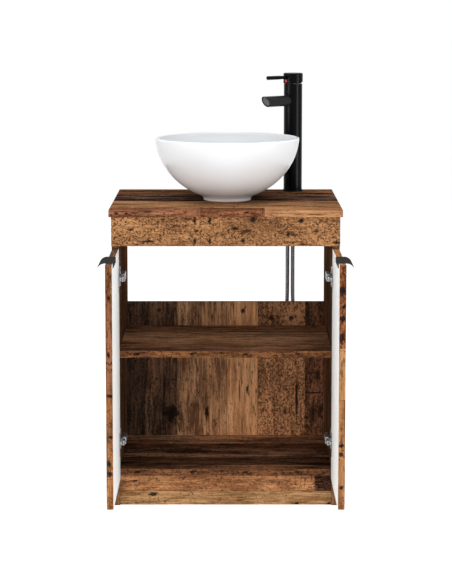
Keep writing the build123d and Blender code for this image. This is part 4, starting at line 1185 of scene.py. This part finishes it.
def screws_in(node, facing_of, shank_r, head_h):
    """Replace a node of screws. facing_of gives the direction a head faces from its middle."""
    places, directions = [], []
    for low, high in solids_of(node):
        middle, half = (low + high) / 2, (high - low) / 2
        facing = Vector(facing_of(middle))
        reach = abs(half.dot(facing))
        places.append(middle + facing * reach)
        directions.append(facing)
        width = max(half[k] for k in range(3) if abs(facing[k]) < 0.5)
    source = source_points(node + "_places", places)
    attribute = source.data.attributes.new("facing", "FLOAT_VECTOR", "POINT")
    attribute.data.foreach_set("vector", [c for d in directions for c in d])
    with_tree(source, cross_screws, head_radius=width, head_height=head_h * MM,
              shank_radius=shank_r * MM, length=2 * reach, recess_radius=width * 0.62,
              recess_depth=width * 0.4, finish=nickel)
    return plain_piece(node + "_cross", source, body_of_node[node], [node], nickel)


def inwards(middle):
    """Towards the middle of the cabinet."""
    return (-1, 0, 0) if middle.x > 0 else (1, 0, 0)


def downwards(_):
    """Down, wherever the screw is."""
    return (0, 0, -1)


# node, the way its heads face, shank radius and head height in millimetres
screw_kinds = [("left_cup_screws", inwards, 1.75, 2.2), ("right_cup_screws", inwards, 1.75, 2.2),
               ("panel_screws", inwards, 1.75, 2.2), ("adjusting_screws", inwards, 2.5, 1.0),
               ("left_handle_screws", inwards, 1.2, 1.2),
               ("right_handle_screws", inwards, 1.2, 1.2),
               ("worktop_screws", downwards, 1.75, 2.2)]
for kind in screw_kinds:
    screws_in(*kind)

# %% [markdown]
# ## Smooth round parts
# The CAD model's round faces are made of flat triangles, and its edges are perfectly sharp. Real
# castings and bent sheets have small radii that catch the light. A merged copy of a CAD piece with
# smooth shading and a narrow Bevel modifier gives both, without changing its size.


# %% Make softened copies
def softened(node, width, material, slot_name):
    """A copy of a CAD piece with merged points, clean flat faces and narrow bevels."""
    mesh = nodes[node].data.copy()
    bm = bmesh.new()
    bm.from_mesh(mesh)
    bmesh.ops.remove_doubles(bm, verts=bm.verts, dist=0.002 * MM)
    bmesh.ops.dissolve_limit(bm, angle_limit=math.radians(0.5), verts=bm.verts, edges=bm.edges)
    shaded_smooth(bm, 30)
    bm.to_mesh(mesh)
    bm.free()
    mesh.materials.clear()
    mesh.materials.append(material)
    piece = placed_object(node + "_soft", mesh)
    bevel = piece.modifiers.new("narrow edges", "BEVEL")
    bevel.width = width * MM
    bevel.segments = 2
    bevel.limit_method = "ANGLE"
    bevel.angle_limit = math.radians(40)
    bevel.use_clamp_overlap = True
    bevel.harden_normals = True
    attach(piece, body_of_node[node])
    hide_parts(node)
    return piece


# node, width of its bevel in millimetres, finish and slot
soft_parts = [("tap_body", 0.35, black_coat, "black_steel"),
              ("tap_cap", 0.35, black_coat, "black_steel"),
              ("tap_lever", 0.35, black_coat, "black_steel"),
              ("tap_base_ring", 0.35, black_coat, "black_steel"),
              ("tap_spout", 0.35, spout_coat_painted_highlight, "black_steel"),
              ("left_handle", 0.25, pull_coat_painted_sheen, "black_steel"),
              ("right_handle", 0.25, pull_coat_painted_sheen, "black_steel"),
              ("waste_plug", 0.3, chrome, "chrome"), ("waste_body", 0.3, chrome, "chrome")]
softened_copies = [softened(*part) for part in soft_parts]
print("softened:", [piece.name for piece in softened_copies])

# %% [markdown]
# ## Light, floor and background
# Product pictures are lit by large soft lamps, so shadows are pale and metal shows long soft bands.
# Two boxes stand at the sides and a wide one hangs above. Two fills in front only brighten: the
# camera and shiny surfaces don't see them. The floor and the world are plain white for the camera
# and for reflections, while the lamps set the light on the cabinet. The Light Path node makes that
# difference.

# %% Light the cabinet
floor_half = 6.0                    # metres from the middle of the studio floor to its edge
floor_corners = [(x * floor_half, y * floor_half, 0)
                 for x, y in ((-1, -1), (1, -1), (1, 1), (-1, 1))]
floor_mesh = bpy.data.meshes.new("studio_floor")
floor_mesh.from_pydata(floor_corners, [], [(0, 1, 2, 3)])
studio_floor = placed_object("studio_floor", floor_mesh)


def seen_directly(tree):
    """1 for rays from the camera, from reflections and through glass."""
    path = add(tree, "ShaderNodeLightPath").outputs
    seen = larger(tree, path["Is Camera Ray"], path["Is Glossy Ray"])
    return larger(tree, seen, path["Is Transmission Ray"])


floor_glow = 0.85                   # lifts the lit floor to white where it is seen directly
floor_finish, floor_tree, floor_shader = new_material("white studio floor")
floor_shader.inputs["Base Color"].default_value = (0.8, 0.8, 0.8, 1.0)
floor_shader.inputs["Roughness"].default_value = 0.9
floor_shader.inputs["Specular IOR Level"].default_value = 0.0
floor_shader.inputs["Emission Color"].default_value = (1, 1, 1, 1)
floor_tree.links.new(times(floor_tree, seen_directly(floor_tree), floor_glow),
                     floor_shader.inputs["Emission Strength"])
floor_mesh.materials.append(floor_finish)

world_light, world_seen = 0.22, 1.0     # the world as a lamp, and as a background
world = bpy.data.worlds.new("studio")
world.use_nodes = True
bpy.context.scene.world = world
sky = world.node_tree
strength = add(sky, "ShaderNodeMapRange", {"Value": seen_directly(sky), "To Min": world_light,
                                           "To Max": world_seen})
sky.nodes["Background"].inputs["Color"].default_value = (1, 1, 1, 1)
sky.links.new(strength.outputs[0], sky.nodes["Background"].inputs["Strength"])


def soft_lamp(name, place, aim_at, width, height, power):
    """A large rectangular area lamp."""
    data = bpy.data.lights.new(name, "AREA")
    data.shape = "RECTANGLE"
    data.size, data.size_y = width, height
    data.energy = power
    lamp = placed_object(name, data)
    lamp.location = place
    lamp.rotation_euler = (Vector(aim_at) - Vector(place)).to_track_quat("-Z", "Y").to_euler()
    return lamp


# name, place, the height it aims at, width, height, watts
boxes = [("left_softbox", (-3.0, -1.5, 0.65), 0.6, 1.3, 1.2, 45),
         ("right_softbox", (3.0, -1.5, 0.65), 0.6, 1.3, 1.2, 49),
         ("top_softbox", (0, -0.4, 2.7), 0.7, 3.0, 2.2, 44)]
fills = [("low_fill", (0, -3.4, 0.4), 0.5, 4.0, 0.7, 31),
         ("high_fill", (0, -3.2, 2.1), 0.5, 2.4, 0.8, 22)]
for name, place, aim_height, width, height, power in boxes + fills:
    lamp = soft_lamp(name, place, (0, 0, aim_height), width, height, power)
    if name.endswith("_fill"):
        lamp.visible_glossy = lamp.visible_camera = False
bpy.context.scene.view_settings.view_transform = "Standard"
